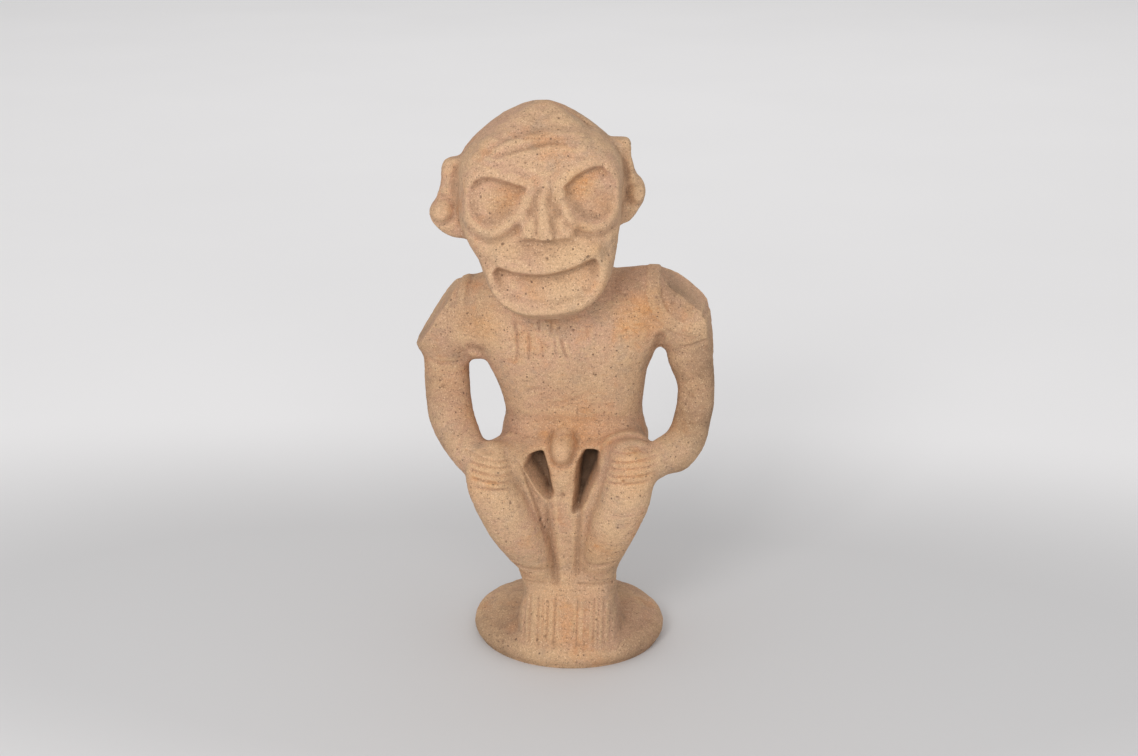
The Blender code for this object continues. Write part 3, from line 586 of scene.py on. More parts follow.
def carve_shoulders(points, normals):
    """The sunk kidney-shaped facet in its raised strap, the ridge strip, sleeves and armpits."""
    x, y, z = points.T
    top = ease((z - FACETS_START) / 6) * ease((FACETS_END - y) / 14)
    kidney = inside_curve(x, z, KIDNEY)
    strap, _ = to_path(x, z, STRAP, 8)
    strip, along = to_path(x, z, RIDGE_STRIP, 8)
    out = -FACET_DEPTH * ease((kidney + 1.0) / 2.8) - FACET_DISH * ease(kidney / 9)
    out += STRAP_RISE * ease((STRAP_HALF_WIDTH - strap) / 2.0) * ease((1.4 - kidney) / 2)
    ridge = STRIP_RISE * ease((STRIP_HALF_WIDTH - strip) / 1.4)
    out += (ridge - STRIP_GROOVE * bump(strip - 3.6, 1.8)) * ease((1 - along) / 0.4)
    out *= top * (1 - 0.45 * ease((x - 60) / 14))
    front = ease((0.25 - normals[:, 1]) / 0.5)
    for path, width, depth in SLEEVES:
        out -= depth * groove(x, z, path, width) * front
    points = points + normals * (out * ease((0.45 - normals[:, 1]) / 0.5))[:, None]
    hollow = np.zeros(len(x))
    for path, width, depth in ARMPITS:
        hollow += depth * groove(x, z, path, width, 0.3) * (y < 0)
    return pushed_back(points, hollow * facing_front(normals))


# The face, in its own plane

EYES = {
    "right": {
        "brow": [(-10.5, 11.6), (-19.5, 14.8), (-27, 17.2), (-33, 17.6), (-38, 15.8)],
        "socket": [
            (-41.6, 12), (-43.4, 5), (-42.6, -2.2), (-39, -8), (-33.5, -11.2), (-28, -11),
            (-22.4, -7.8), (-17, -2.4), (-12.4, 4.4),
        ],
    },
    "left": {
        "brow": [(11.6, 12.4), (16.6, 17.2), (22, 20.6), (27.6, 22.8), (32.6, 22.6)],
        "socket": [
            (37.2, 20), (40.6, 14.6), (41.8, 8), (41.2, 1), (38.2, -5), (33, -8.4), (27.4, -8.8),
            (21.4, -6.2), (15.6, -0.8), (11.8, 6),
        ],
    },
}

NOSE_TOP = 8.0
NOSE_BASE = -17.2
NOSE_LEAN = 3.2
RIDGE_RISE = (2.1, 5.1)
RIDGE_HALF_WIDTH = (2.6, 1.7)
NOSE_RISE = (0.5, 3.0)
NOSE_HALF_WIDTH = (6, 13)
NOSTRIL_RISE = 4.6
NOSTRILS = [(-8.8, -11.0, 7.4, 12.5), (12.0, -10.5, 8.6, 12.5)]

MOUTH_TOP = [
    (-27.4, -33.2), (-21.7, -34), (-12, -36.2), (-2.2, -37.1), (8, -35.8), (17.3, -32.8),
    (24, -29.8), (29.4, -28.6),
]
MOUTH_FLOOR = [
    (31, -32), (31, -39), (28.6, -46), (22, -51.6), (10.8, -55), (-2.3, -56), (-16, -54.4),
    (-24, -50), (-28.4, -43), (-29.2, -37),
]
JAW = [
    (-40, -24), (-38.6, -33), (-36.4, -42), (-33, -50.6), (-26, -58), (-14, -63.2), (-1, -65),
    (12, -64), (22, -61.4), (30.4, -56.6), (37, -49), (41, -41), (43, -32), (42, -23),
]
LIP_RISE = 5.2
JAW_RISE = 3.6
MOUTH_RIM = 2.4
MOUTH_DEPTH = 1.8
DEPTH_UNDER_LIP = 5.6
DEPTH_IN_CORNERS = 1.6
HEADBAND_UPPER = [(-37, 26), (-29, 33), (-20.6, 37.4), (-7.1, 41.6), (11.3, 43.1), (25.8, 41), (34, 38.4)]
HEADBAND_LOWER = [(-32, 27.6), (-22, 30.6), (-12.2, 33), (5, 36), (18, 35.6)]
HEADBAND_CREASES = [(HEADBAND_UPPER, 6.5, 1.7, 0.14), (HEADBAND_LOWER, 6.0, 1.6, 0.25)]
BAND_RISE = 1.3
BAND_DIP = 0.9

EAR_CREASES = [
    [(-47.6, 24), (-48, 12), (-48, 2), (-47.4, -10), (-48.4, -21)],
    [(49, 30), (49, 20), (49.4, 10), (50.6, 0), (50.4, -10)],
]
EAR_CREASE_DEPTH = 1.6
EAR_PLUGS = [(-58.4, -8.4, 7.4), (56.6, 0, 6.2)]
PLUG_RISE = 2.2
PLUG_CREASE = 1.5
EAR_STARTS = 44

EYE_HOLLOW = 3.3
HOLLOW_UNDER_BROW = 2.3
EYE_RIM = 3.1
EYE_CREASE = 1.3


def eye_relief(x, y, eye):
    """A soft hollow, deepest under the brow, in a broad round rim that the brow cuts off."""
    depth = inside_curve(x, y, eye["brow"], eye["socket"])
    brow, _ = to_path(x, y, eye["brow"])
    socket, _ = to_path(x, y, eye["socket"])
    deepest = EYE_HOLLOW + HOLLOW_UNDER_BROW * bump(brow, 12)
    slope = 7.6 - 3.6 * bump(brow, 8)
    hollow = -deepest * ease((depth + 1.2) / slope)
    rim = EYE_RIM * bump(-depth - 2.4, 5.6)
    crease = EYE_CREASE * bump(-depth - 8.0, 3.4)
    below_brow = ease((brow + 0.6 - socket) / 9 + 0.5)
    return hollow + (rim - crease) * (0.3 + 0.7 * below_brow)


def nose_relief(x, y):
    """A ridge that stands out more towards its base, on a spreading nose with two nostril lobes.

    Each pair of sizes is what it has at the top and what it gains down to the base.
    """
    down = np.clip((NOSE_TOP - y) / (NOSE_TOP - NOSE_BASE), 0, 1.2)
    aside = np.abs(x + 1.9 - NOSE_LEAN * down)
    half_width, rise, body_rise, body_half_width = (
        pair[0] + pair[1] * down for pair in (RIDGE_HALF_WIDTH, RIDGE_RISE, NOSE_RISE, NOSE_HALF_WIDTH)
    )
    ridge = rise * ease((half_width + 2.6 - aside) / 4.6)
    ridge = np.maximum(ridge, body_rise * ease((body_half_width - aside) / 6))
    for middle, height, across, up in NOSTRILS:
        lobe = ease(1.5 - 1.5 * np.hypot((x - middle) / across, (y - height) / up))
        ridge = np.maximum(ridge, NOSTRIL_RISE * lobe * ease(0.3 + 0.9 * down))
    flank = 1.8 * down * bump(aside, 18)
    cut = 0.7 * bump(aside - half_width - 2.8, 2.8) * between(y, -15, -4, 5)
    return (ridge + flank - cut) * ease((y - NOSE_BASE + 1.6) / 2.6) * ease((NOSE_TOP + 2 - y) / 8)


def mouth_relief(x, y):
    """A jutting jaw with a crescent mouth: a convex lip, a hollow that slopes out, a round rim."""
    jaw = inside_curve(x, y, JAW)
    hollow = inside_curve(x, y, MOUTH_TOP, MOUTH_FLOOR)
    lip, _ = to_path(x, y, MOUTH_TOP)
    lip_height = np.interp(x, [p[0] for p in MOUTH_TOP], [p[1] for p in MOUTH_TOP])
    aside = np.abs(x - 1)
    above = LIP_RISE * bump(lip - 3.0, 12) * between(x, -26, 29, 8)
    plate = JAW_RISE * ease((jaw + 0.8) / 5)
    rim = MOUTH_RIM * bump(-hollow - 3.6, 5.4)
    corners = DEPTH_IN_CORNERS * bump(aside - 27, 9) * bump(lip, 18)
    depth = MOUTH_DEPTH + DEPTH_UNDER_LIP * bump(lip, 17) + corners
    below = plate + rim - depth * ease((hollow + 1.0) / 5.2)
    past_lip = ease((aside - 26) / 5)
    lower = ease((lip_height + 1.0 - y) / (1.8 + 6 * past_lip) + 0.3 * past_lip)
    return above * (1 - lower) + below * lower


def headband_relief(x, y):
    """A low band round the forehead, under a crease and a shallow dip, over a softer crease."""
    upper, _ = to_path(x, y, HEADBAND_UPPER)
    lower, _ = to_path(x, y, HEADBAND_LOWER)
    creases = sum(depth * groove(x, y, path, width, fade) for path, width, depth, fade in HEADBAND_CREASES)
    band = BAND_RISE * bump(lower - 4.6, 6) * ease((y - 27) / 6) * between(x, -30, 26, 10)
    return band - creases - BAND_DIP * bump(upper - 3, 8) * (y > 37) * between(x, -22, 24, 12)


def ear_relief(x, y):
    """A crease where each ear leaves the head, and round its plug."""
    out = np.zeros(x.shape)
    for path in EAR_CREASES:
        out -= EAR_CREASE_DEPTH * groove(x, y, path, 7, 0.2)
    for middle, height, reach in EAR_PLUGS:
        away = np.hypot(x - middle, y - height)
        plug = PLUG_RISE * dome(away, reach)
        out += plug - PLUG_CREASE * bump(away - reach - 0.6, 2.6) * ease((46 - away) / 4)
    return out * ease((np.abs(x) - EAR_STARTS) / 2)


def carve_face(points, normals):
    """Cuts the face into the front of the head."""
    offset = points - FACE_MIDDLE
    x, y, out = offset @ FACE_RIGHT, offset[:, 2], offset @ FACE_OUT
    pick = (out > FACE_BACK) & (y > FACE_LOWEST) & (normals @ FACE_OUT > 0.15)
    relief = np.zeros(len(x))
    fx, fy = x[pick], y[pick]
    worked = nose_relief(fx, fy) + mouth_relief(fx, fy) + ear_relief(fx, fy)
    for eye in EYES.values():
        worked += eye_relief(fx, fy, eye)
    relief[pick] = worked * ease((normals[pick] @ FACE_OUT - 0.15) / 0.35)
    crown = np.zeros(len(x))
    pick = (out > FACE_BACK) & (y > FOREHEAD_LOWEST)
    crown[pick] = headband_relief(x[pick], y[pick])
    return points + relief[:, None] * FACE_OUT + crown[:, None] * normals


# Lines over the body

FINGER_LINES = [
    [(-58, 135.4), (-41, 132.3), (-29, 129.8)], [(-57, 130.9), (-42, 128.8), (-28, 126.2)],
    [(-55, 126.6), (-42, 124.6), (-27, 122.6)], [(-53, 122.1), (-40, 120.4), (-27, 118.8)],
    [(-50.5, 117.2), (-40, 116.4), (-28, 115.7)], [(26, 136.8), (40, 138.4), (57, 140.6)],
    [(25, 132.5), (40, 134.2), (57, 136.2)], [(25.5, 128.8), (40, 130.4), (57, 131.9)],
    [(26, 125.1), (40, 126.3), (55, 127.5)], [(27, 121.4), (40, 122.5), (54, 123.7)],
]
TOE_LINES = [
    (-23.4, 16, 36, 0.8), (-20, 15, 38, 1.0), (-14.6, 14, 38, 0.9), (-11.9, 15, 37, 0.7),
    (-9.2, 16, 36, 0.8), (-4.5, 15, 37, 1.0), (9, 14, 37, 0.9), (13.7, 15, 37, 0.8),
    (15.8, 16, 36, 0.6), (19.1, 14, 38, 0.9), (21.8, 15, 38, 0.7), (25.1, 15, 37, 0.9),
    (29.2, 16, 36, 0.7), (32.6, 16, 35, 0.6),
]
FINGER_DEPTH, FINGER_WIDTH = 1.35, 2.4
TOE_DEPTH, TOE_REACH = 1.35, 1.25
ANKLES = [(-26, -6), (10, 31)]
ANKLE_HEIGHT = 47.5
ANKLE_DEPTH = 0.8
CALF_EDGES = [[(-30, 64), (-24, 60), (-12, 57.5), (-5, 56)], [(12, 62), (20, 63), (30, 66)]]
FOREARM_CREASES = [
    [(67.1, 156.3), (70, 149), (74.5, 141.4)], [(-56.4, 149.4), (-60.5, 140), (-63.4, 128.8)],
]
CHIP = [(71.8, 165.2), (74.3, 163.4), (76.4, 162.0)]
# Path, width, depth, how much of each end runs out, and the y that it stays in front of
LIMB_GROOVES = (
    [(line, 6.5, 1.1, 0.15, -18) for line in CALF_EDGES]
    + [(line, 5.0, 1.3, 0.25, -5) for line in FOREARM_CREASES]
    + [(CHIP, 3.0, 1.5, 0.3, -2)]
)
ELBOW_CHIP = np.array([66.0, -24.0, 118.0])
ELBOW_CHIP_SIZE = np.array([7, 8, 4])
ELBOW_CHIP_DEPTH = 1.6


def carve_limbs(points, normals):
    """Fingers across the knees, toes down the feet, creases at ankles and forearms, and a chip."""
    x, y, z = points.T
    cut = np.zeros(len(x))
    for line in FINGER_LINES:
        cut += FINGER_DEPTH * groove(x, z, line, FINGER_WIDTH) * (y < -35)
    for place, low, high, depth in TOE_LINES:
        cut += TOE_DEPTH * depth * bump(x - place, TOE_REACH) * between(z, low, high, 4) * (y < -25)
    for start, end in ANKLES:
        cut += ANKLE_DEPTH * bump(z - ANKLE_HEIGHT, 1.6) * between(x, start, end, 3) * (y < -20)
    for line, width, depth, fade, front in LIMB_GROOVES:
        cut += depth * groove(x, z, line, width, fade) * (y < front)
    points = pushed_back(points, cut * facing_front(normals))
    chipped = dome(np.linalg.norm((points - ELBOW_CHIP) / ELBOW_CHIP_SIZE, axis=1))
    return points - normals * (ELBOW_CHIP_DEPTH * chipped)[:, None]


CHEST_LINES = [
    ([(-31, 214), (-28.6, 203), (-28.2, 192), (-30, 180.6)], 0.8),
    ([(-21.6, 206), (-20.9, 195.8), (-21.8, 184)], 0.7),
    ([(-15, 212), (-15, 204)], 0.6),
    ([(-8, 213), (-8, 202.6)], 0.6),
    ([(-13.9, 199.4), (-12.6, 188.4)], 0.4),
    ([(-2.6, 203), (-0.5, 194), (2.3, 187)], 0.8),
    ([(-6.1, 202.4), (-4.4, 187.7)], 0.5),
    ([(12.1, 209.6), (15.1, 197.4)], 0.3),
]
CHEST_DEPTH, CHEST_WIDTH = 1.7, 3.0
BELT_CREASE = [(-40, 143.5), (-30, 145.6), (-15, 147.6), (3, 148.2), (20.9, 148.6), (36, 148), (47, 146)]
BELLY_FOLDS = [
    [(-28, 163), (-18, 167), (-8, 168)], [(-20, 155), (-5, 158), (10, 164), (20, 170)],
]
# Path, width, depth, and how much of each end runs out
BODY_GROOVES = (
    [(line, CHEST_WIDTH, CHEST_DEPTH * depth, 0.25) for line, depth in CHEST_LINES]
    + [(line, 5.0, 0.7, 0.3) for line in BELLY_FOLDS]
    + [(BELT_CREASE, 9.0, 0.7, 0.2)]
)
BELT_HEIGHT = 140
BELT_RISE = 0.6

# Path, width, depth
COLUMN_EDGES = [
    ([(-8.6, 108), (-8.2, 95), (-7.4, 82), (-6.4, 66), (-5, 52), (-4, 43)], 8.0, 3.0),
    ([(9.6, 102), (9.4, 90), (8.8, 76), (8.2, 62), (7.4, 50)], 6.0, 2.1),
]

INNER_PLANE = [
    (-27, 130), (-25.4, 114), (-20.6, 101), (-15.4, 88), (-10, 73), (-6.6, 58), (-4.6, 50),
    (-5.6, 66), (-7, 84), (-9.2, 100), (-16, 110), (-22, 122),
]
PLANE_DEPTH = 3.2
GROIN_PIT = (-0.3, 105.5)
GROIN_PIT_DEPTH = 1.6
KNOB = (-0.9, 133.5)
KNOB_SIZE = (8.2, 9.5)
KNOB_RISE = 2.0
KNOB_CREASE = 1.3
SPINE = {"x": -0.4, "depth": 1.6, "reach": 5, "heights": (150, 205)}
CLEFT = {"x": 3, "depth": 3.2, "reach": 6, "heights": (96, 122)}


def carve_body(points, normals):
    """Lines down the chest, a belt crease over the hips, belly folds, and a plain back."""
    x, y, z = points.T
    cut = np.zeros(len(x))
    for line, width, depth, fade in BODY_GROOVES:
        cut += depth * groove(x, z, line, width, fade)
    cut -= BELT_RISE * bump(z - BELT_HEIGHT, 6) * between(x, -36, 40, 10)
    plane = inside_curve(x, z, INNER_PLANE)
    cut += PLANE_DEPTH * ease((plane + 0.4) / 2.8) * (y > -52)
    for line, width, depth in COLUMN_EDGES:
        cut += depth * groove(x, z, line, width, 0.15)
    cut += GROIN_PIT_DEPTH * bump(np.hypot(x - GROIN_PIT[0], z - GROIN_PIT[1]), 2.4)
    knob = np.hypot((x - KNOB[0]) / KNOB_SIZE[0], (z - KNOB[1]) / KNOB_SIZE[1])
    cut -= KNOB_RISE * dome(knob) - KNOB_CREASE * bump(knob - 1.12, 0.34) * (z < 142)
    points = pushed_back(points, cut * facing_front(normals) * (y > -45))
    spine, cleft = (
        line["depth"] * bump(x - line["x"], line["reach"]) * between(z, *line["heights"], soft)
        for line, soft in ((SPINE, 14), (CLEFT, 12))
    )
    return pushed_back(points, -(spine + cleft) * facing_front(-normals) * (y > 0))


# Weathering, and painted light and shade


def cell_numbers(cells, seed):
    """A fixed random whole number for each lattice cell, 0 to 65535."""
    key = cells @ np.array([73856093, 19349663, 83492791]) + seed * 2654435761
    key = (key ^ (key >> 13)) * 1274126177
    return (key ^ (key >> 16)) & 0xFFFF


def lattice_noise(points, spacing, seed):
    """Smooth noise from -1 to 1: a random value at each lattice corner, eased between the eight."""
    at = points / spacing
    cell = np.floor(at).astype(np.int64)
    t = ease(at - cell)
    total = np.zeros(len(points))
    for corner in np.ndindex(2, 2, 2):
        value = cell_numbers(cell + corner, seed) / 32767.5 - 1
        weight = np.prod(np.where(corner, t, 1 - t), axis=1)
        total += weight * value
    return total


# Height, spacing and stretch of each noise on the skin, in millimetres
EVEN = np.ones(3)
ALONG_BEDDING = np.array([0.3, 0.5, 1.0])
ROUGHNESS = [(0.42, 13.0, EVEN), (0.17, 5.2, EVEN), (0.15, 1.6, ALONG_BEDDING), (0.07, 1.4, EVEN)]


def roughen(points, normals):
    """Uneven dressing and grain: noise at four spacings, the third drawn out along the bedding."""
    out = np.zeros(len(points))
    for seed, (height, spacing, stretch) in enumerate(ROUGHNESS, 1):
        out += height * lattice_noise(points * stretch, spacing, seed)
    above_floor = ease(points[:, 2] / 3)
    return points + normals * (out * above_floor)[:, None]


PIT_SPACING = 4.2
PIT_SHARE = 0.42
PIT_RADIUS = 0.45
PIT_RADIUS_RANGE = 0.8
PIT_DEPTH = 0.62
PIT_SEED = 11


def pit_depth(points):
    """Scattered open pores: one in each cell of a lattice at a random place, a round bowl."""
    cell = np.floor(points / PIT_SPACING).astype(np.int64)
    depth = np.zeros(len(points))
    for step in np.ndindex(3, 3, 3):
        at = cell + np.array(step) - 1
        random = [cell_numbers(at, seed + PIT_SEED) / 65535 for seed in range(5)]
        centre = (at + np.stack(random[:3], axis=1)) * PIT_SPACING
        radius = PIT_RADIUS + PIT_RADIUS_RANGE * random[3] ** 4
        away = np.linalg.norm(points - centre, axis=1)
        bowl = dome(away, radius) * (random[4] < PIT_SHARE)
        depth = np.maximum(depth, PIT_DEPTH * radius * bowl)
    return depth * ease(points[:, 2] / 2)


def cut_pits(points, normals):
    """Sinks the open pores into the skin."""
    return points - normals * pit_depth(points)[:, None]


def averaged(mesh, values, passes):
    """Values on the points, each pass replacing them by the mean of their neighbours'."""
    edges = np.empty(len(mesh.edges) * 2, np.int32)
    mesh.edges.foreach_get("vertices", edges)
    a, b = edges.reshape(-1, 2).T
    count = len(mesh.vertices)
    degree = np.maximum(np.bincount(a, minlength=count) + np.bincount(b, minlength=count), 1)
    for _ in range(passes):
        values = np.stack([
            np.bincount(a, column[b], count) + np.bincount(b, column[a], count) for column in values.T
        ], axis=1) / degree[:, None]
    return values


# Place, reach and strength of each soft spot
STAINS = [
    ((47, -26, 214), 17, 1.0), ((38, -28, 224), 10, 0.6), ((12, -54, 297), 9, 1.0),
    ((-31, -52, 288), 11, 0.75), ((24, -52, 287), 8, 0.5), ((43, -60, 130), 14, 0.6),
    ((-45, -60, 122), 15, 0.35), ((70, -20, 143), 10, 0.7), ((-60, -20, 146), 10, 0.5),
    ((-52, -25, 206), 14, 0.5), ((5, -27, 140), 26, 0.5), ((24, -50, 78), 12, 0.5),
    ((76, -8, 170), 12, 0.35), ((-74, -8, 165), 14, 0.4), ((2, -50, 28), 22, 0.4),
    ((14, -62, 273), 8, 0.7), ((22, -60, 263), 7, 0.6),
]
# Painted shade: dark spots over the shoulders, arms, base, eyes, body, back and head
PAINTED_SHADE_SPOTS = [
    ((62, -8, 226), 20, 0.8), ((40, -16, 236), 14, 0.7), ((80, -6, 176), 28, 0.95),
    ((78, -14, 150), 24, 0.95), ((-40, -30, 10), 34, 0.75), ((46, -28, 10), 36, 0.75),
    ((0, 40, 12), 46, 0.8), ((-80, -2, 184), 24, 0.55), ((-32, -54, 287), 10, 0.4),
    ((20, -54, 288), 14, 0.25), ((-78, -10, 158), 22, 0.6), ((-66, -24, 134), 16, 0.4),
    ((-66, -12, 212), 20, 0.4), ((2, -26, 162), 24, 0.2), ((8, -24, 178), 16, 0.2),
    ((-30, -54, 118), 8, 0.3), ((66, -30, 122), 12, 0.9), ((28, -40, 66), 12, 0.3),
    ((-58, -22, 262), 10, 0.5), ((0, 30, 160), 50, 0.35), ((0, 40, 280), 60, 0.3),
]
# Painted light: pale spots on the face, the chest under the jaw, a shin and the feet
PAINTED_LIGHT_SPOTS = [
    ((4, -62, 257), 20, 0.9), ((-32, -58, 262), 12, 0.8), ((0, -62, 240), 18, 0.8),
    ((30, -56, 258), 10, 0.6), ((-2, -28, 222), 14, 0.4), ((-2, -68, 278), 8, 0.6),
    ((-34, -46, 84), 12, 0.3), ((2, -40, 42), 14, 0.3),
]
SPOT_SPREAD = 1.5


def spot_map(points, spots):
    """A value on each point: soft spots around the given places."""
    spotted = np.zeros(len(points))
    for place, reach, strength in spots:
        distance = np.linalg.norm(points - np.array(place), axis=1)
        spotted = np.maximum(spotted, strength * bump(distance, reach * SPOT_SPREAD))
    return spotted


def store(mesh, name, values):
    """A number on each point, which the material reads by name."""
    mesh.attributes.new(name, "FLOAT", "POINT").data.foreach_set("value", values.astype(np.float32))


def cut_flat(item):
    """Cuts the underside off flat at the floor and closes it with triangles."""
    work = bmesh.new()
    work.from_mesh(item.data)
    everything = work.verts[:] + work.edges[:] + work.faces[:]
    cut = bmesh.ops.bisect_plane(
        work, geom=everything, plane_co=(0, 0, 0), plane_no=(0, 0, 1), clear_inner=True
    )
    rim = [edge for edge in cut["geom_cut"] if isinstance(edge, bmesh.types.BMEdge)]
    filled = bmesh.ops.contextual_create(work, geom=rim)
    bmesh.ops.triangulate(work, faces=work.faces[:])
    work.to_mesh(item.data)
    work.free()
    if not filled["faces"]:
        raise RuntimeError("the underside did not close")


def placed_object(name, data):
    """A new object of a mesh, light or camera, in the scene."""
    item = bpy.data.objects.new(name, data)
    bpy.context.scene.collection.objects.link(item)
    return item


# Smoothing passes and full height, in millimetres, of the fine and the broad relief
FINE_RELIEF = (5, 0.45)
BROAD_RELIEF = (90, 2.6)
DARKEST_PIT = 0.6


def store_wear_and_painted_light(mesh):
    """What the material reads on each point: edges, hollows, pores, painted shade in the slots, stains,
    painted shade spots and painted light spots.
    """
    points, normals = points_of(mesh), normals_of(mesh)
    for name, (passes, full) in (("edge", FINE_RELIEF), ("relief", BROAD_RELIEF)):
        height = np.sum((points - averaged(mesh, points, passes)) * normals, axis=1)
        store(mesh, name, np.clip(height / full, -1, 1))
    store(mesh, "pit", pit_depth(points) / DARKEST_PIT)
    store(mesh, "slot", slot_shade(points))
    for name, spots in (("stain", STAINS), ("painted_shade_and_mottle", PAINTED_SHADE_SPOTS), ("pale", PAINTED_LIGHT_SPOTS)):
        store(mesh, name, spot_map(points, spots))


def carved_figure(settings):
    """The whole stone: masses, skin, carving, weathering and painted light and shade, cut flat under the
    base.
    """
    item = placed_object("carved_figure", joined_masses())
    work_skin(item, voxels(FIRST_SKIN), smoothing(FIRST_SMOOTHING))
    fillets = moved_out(FILLET), voxels(FINE_SKIN), moved_out(-FILLET)
    work_skin(item, *fillets, smoothing(FINE_SMOOTHING))
    carve(item, [cut_slots])
    work_skin(item, voxels(FINE_SKIN), smoothing(FIRST_SMOOTHING))
    carve(item, [cut_shoulders, carve_shoulders, carve_body, carve_limbs, carve_face])
    work_skin(item, smoothing(LAST_SMOOTHING))
    carve(item, [roughen, cut_pits])
    work_skin(item, thinning(item, settings.triangles))
    cut_flat(item)
    low, high = (np.array(corner) / MM for corner in CAD_BOX)
    set_points(item.data, np.clip(points_of(item.data), low, high))
    item.data.polygons.foreach_set("use_smooth", np.ones(len(item.data.polygons), bool))
    store_wear_and_painted_light(item.data)
    return item


# Stone


class Nodes:
    """Adds nodes to one tree. Every value may be a plain number, a colour or another node's socket."""

    def __init__(self, tree):
        self.tree = tree

    def fill(self, node, inputs):
        """Links or sets inputs of a node, each found by its name or number."""
        for name, value in inputs.items():
            socket = node.inputs[name]
            if isinstance(value, bpy.types.NodeSocket):
                self.tree.links.new(value, socket)
            elif socket.type == "RGBA":
                socket.default_value = (*value, 1.0)
            else:
                socket.default_value = value

    def add(self, kind, inputs, **options):
        """A node of a kind, with its options and inputs."""
        node = self.tree.nodes.new("ShaderNode" + kind)
        for name, value in options.items():
            setattr(node, name, value)
        self.fill(node, inputs)
        return node

    def maths(self, operation, first, second):
        """A sum, product or other simple result of two values."""
        return self.add("Math", {0: first, 1: second}, operation=operation).outputs[0]

    def times(self, first, second):
        """The product of two values."""
        return self.maths("MULTIPLY", first, second)

    def larger(self, first, second):
        """The larger of two values."""
        return self.maths("MAXIMUM", first, second)

    def remap(self, value, low, high, to_low=0.0, to_high=1.0, smooth=True):
        """A value carried from one range to another, clamped."""
        ends = {"From Min": low, "From Max": high, "To Min": to_low, "To Max": to_high}
        style = "SMOOTHSTEP" if smooth else "LINEAR"
        node = self.add("MapRange", {"Value": value, **ends}, interpolation_type=style, clamp=True)
        return node.outputs["Result"]

    def noise(self, vector, scale, detail=2.0, roughness=0.5):
        """Blender's noise at a scale, and its value."""
        inputs = {"Vector": vector, "Scale": scale, "Detail": detail, "Roughness": roughness}
        return self.add("TexNoise", inputs).outputs["Fac"]

    def cells(self, vector, scale):
        """Distance from the nearest cell's middle, and three random values of that cell."""
        node = self.add("TexVoronoi", {"Vector": vector, "Scale": scale}, feature="F1")
        split = self.add("SeparateColor", {"Color": node.outputs["Color"]})
        return node.outputs["Distance"], split.outputs

    def blend(self, share, first, second, mode="MIX"):
        """Two colours blended by a share."""
        node = self.add("Mix", {}, data_type="RGBA", blend_type=mode)
        used = [number for number, socket in enumerate(node.inputs) if socket.enabled]
        self.fill(node, dict(zip(used, (share, first, second))))
        return next(socket for socket in node.outputs if socket.enabled)

    def stretched(self, vector, scale):
        """A vector scaled differently along x, y and z."""
        return self.add("Mapping", {"Vector": vector, "Scale": scale}).outputs["Vector"]

    def stored(self, name):
        """A number stored on the piece's points."""
        return self.add("Attribute", {}, attribute_name=name).outputs["Fac"]


def new_group(name, inputs, outputs):
    """An empty node group with named sockets. Inputs are (name, default), outputs are names."""
    group = bpy.data.node_groups.new(name, "ShaderNodeTree")
    for label, default in inputs:
        kind = "NodeSocketVector" if default is None else "NodeSocketFloat"
        socket = group.interface.new_socket(label, in_out="INPUT", socket_type=kind)
        if default is not None:
            socket.default_value = default
    for label in outputs:
        group.interface.new_socket(label, in_out="OUTPUT", socket_type="NodeSocketFloat")
    return Nodes(group), group.nodes.new("NodeGroupInput").outputs, group.nodes.new("NodeGroupOutput")


def pores_group():
    """Dark open pores: round spots in a share of random cells, 1 in the middle of each."""
    inputs = [("Vector", None), ("Scale", 500.0), ("Size", 0.3), ("Share", 0.4)]
    nodes, given, result = new_group("Pores", inputs, ["Mask"])
    distance, random = nodes.cells(given["Vector"], given["Scale"])
    chosen = nodes.maths("LESS_THAN", random["Red"], given["Share"])
    size = nodes.times(given["Size"], nodes.remap(random["Green"], 0, 1, 0.5, 1))
    spot = nodes.remap(distance, nodes.times(size, 0.45), size, 1.0, 0.0)
    nodes.fill(result, {"Mask": nodes.times(spot, chosen)})
    return nodes.tree


def grain_group():
    """Sand grains: a value for each grain's tone, and the height of the grain."""
    inputs = [("Vector", None), ("Scale", 1200.0)]
    nodes, given, result = new_group("Sand grain", inputs, ["Tone", "Height"])
    distance, random = nodes.cells(given["Vector"], given["Scale"])
    rough = nodes.noise(given["Vector"], nodes.times(given["Scale"], 0.8), 3.0, 0.7)
    rounded = nodes.maths("SUBTRACT", 1.0, distance)
    nodes.fill(result, {"Tone": random["Blue"], "Height": nodes.times(rounded, rough)})
    return nodes.tree


def new_material(name):
    """A material, a maker of its nodes, its shader, and the place on the object."""
    material = bpy.data.materials.new(name)
    material.use_nodes = True
    nodes = Nodes(material.node_tree)
    place = nodes.add("TexCoord", {}).outputs["Object"]
    return material, nodes, material.node_tree.nodes["Principled BSDF"], place


BEDDING = (0.45, 0.6, 1.6)
# Scale, detail and roughness of each noise
BROAD_CLOUDS = (24.0, 4.0, 0.6)
RUST_CLOUDS = (48.0, 4.0, 0.6)
PATCHES = (75.0, 5.0, 0.65)
MEDIUM_CLOUDS = (130.0, 5.0, 0.65)
FINE_CLOUDS = (420.0, 4.0, 0.7)
GRAINS_PER_METRE = 1900.0
SMALL_PORES = {"Scale": 700.0, "Size": 0.38, "Share": 0.34}
LARGE_PORES = {"Scale": 300.0, "Size": 0.22, "Share": 0.26}
GRAIN_TONES = (0.82, 1.18)
BUMP_STRENGTH = 0.8
STONE_SHINE = 0.25


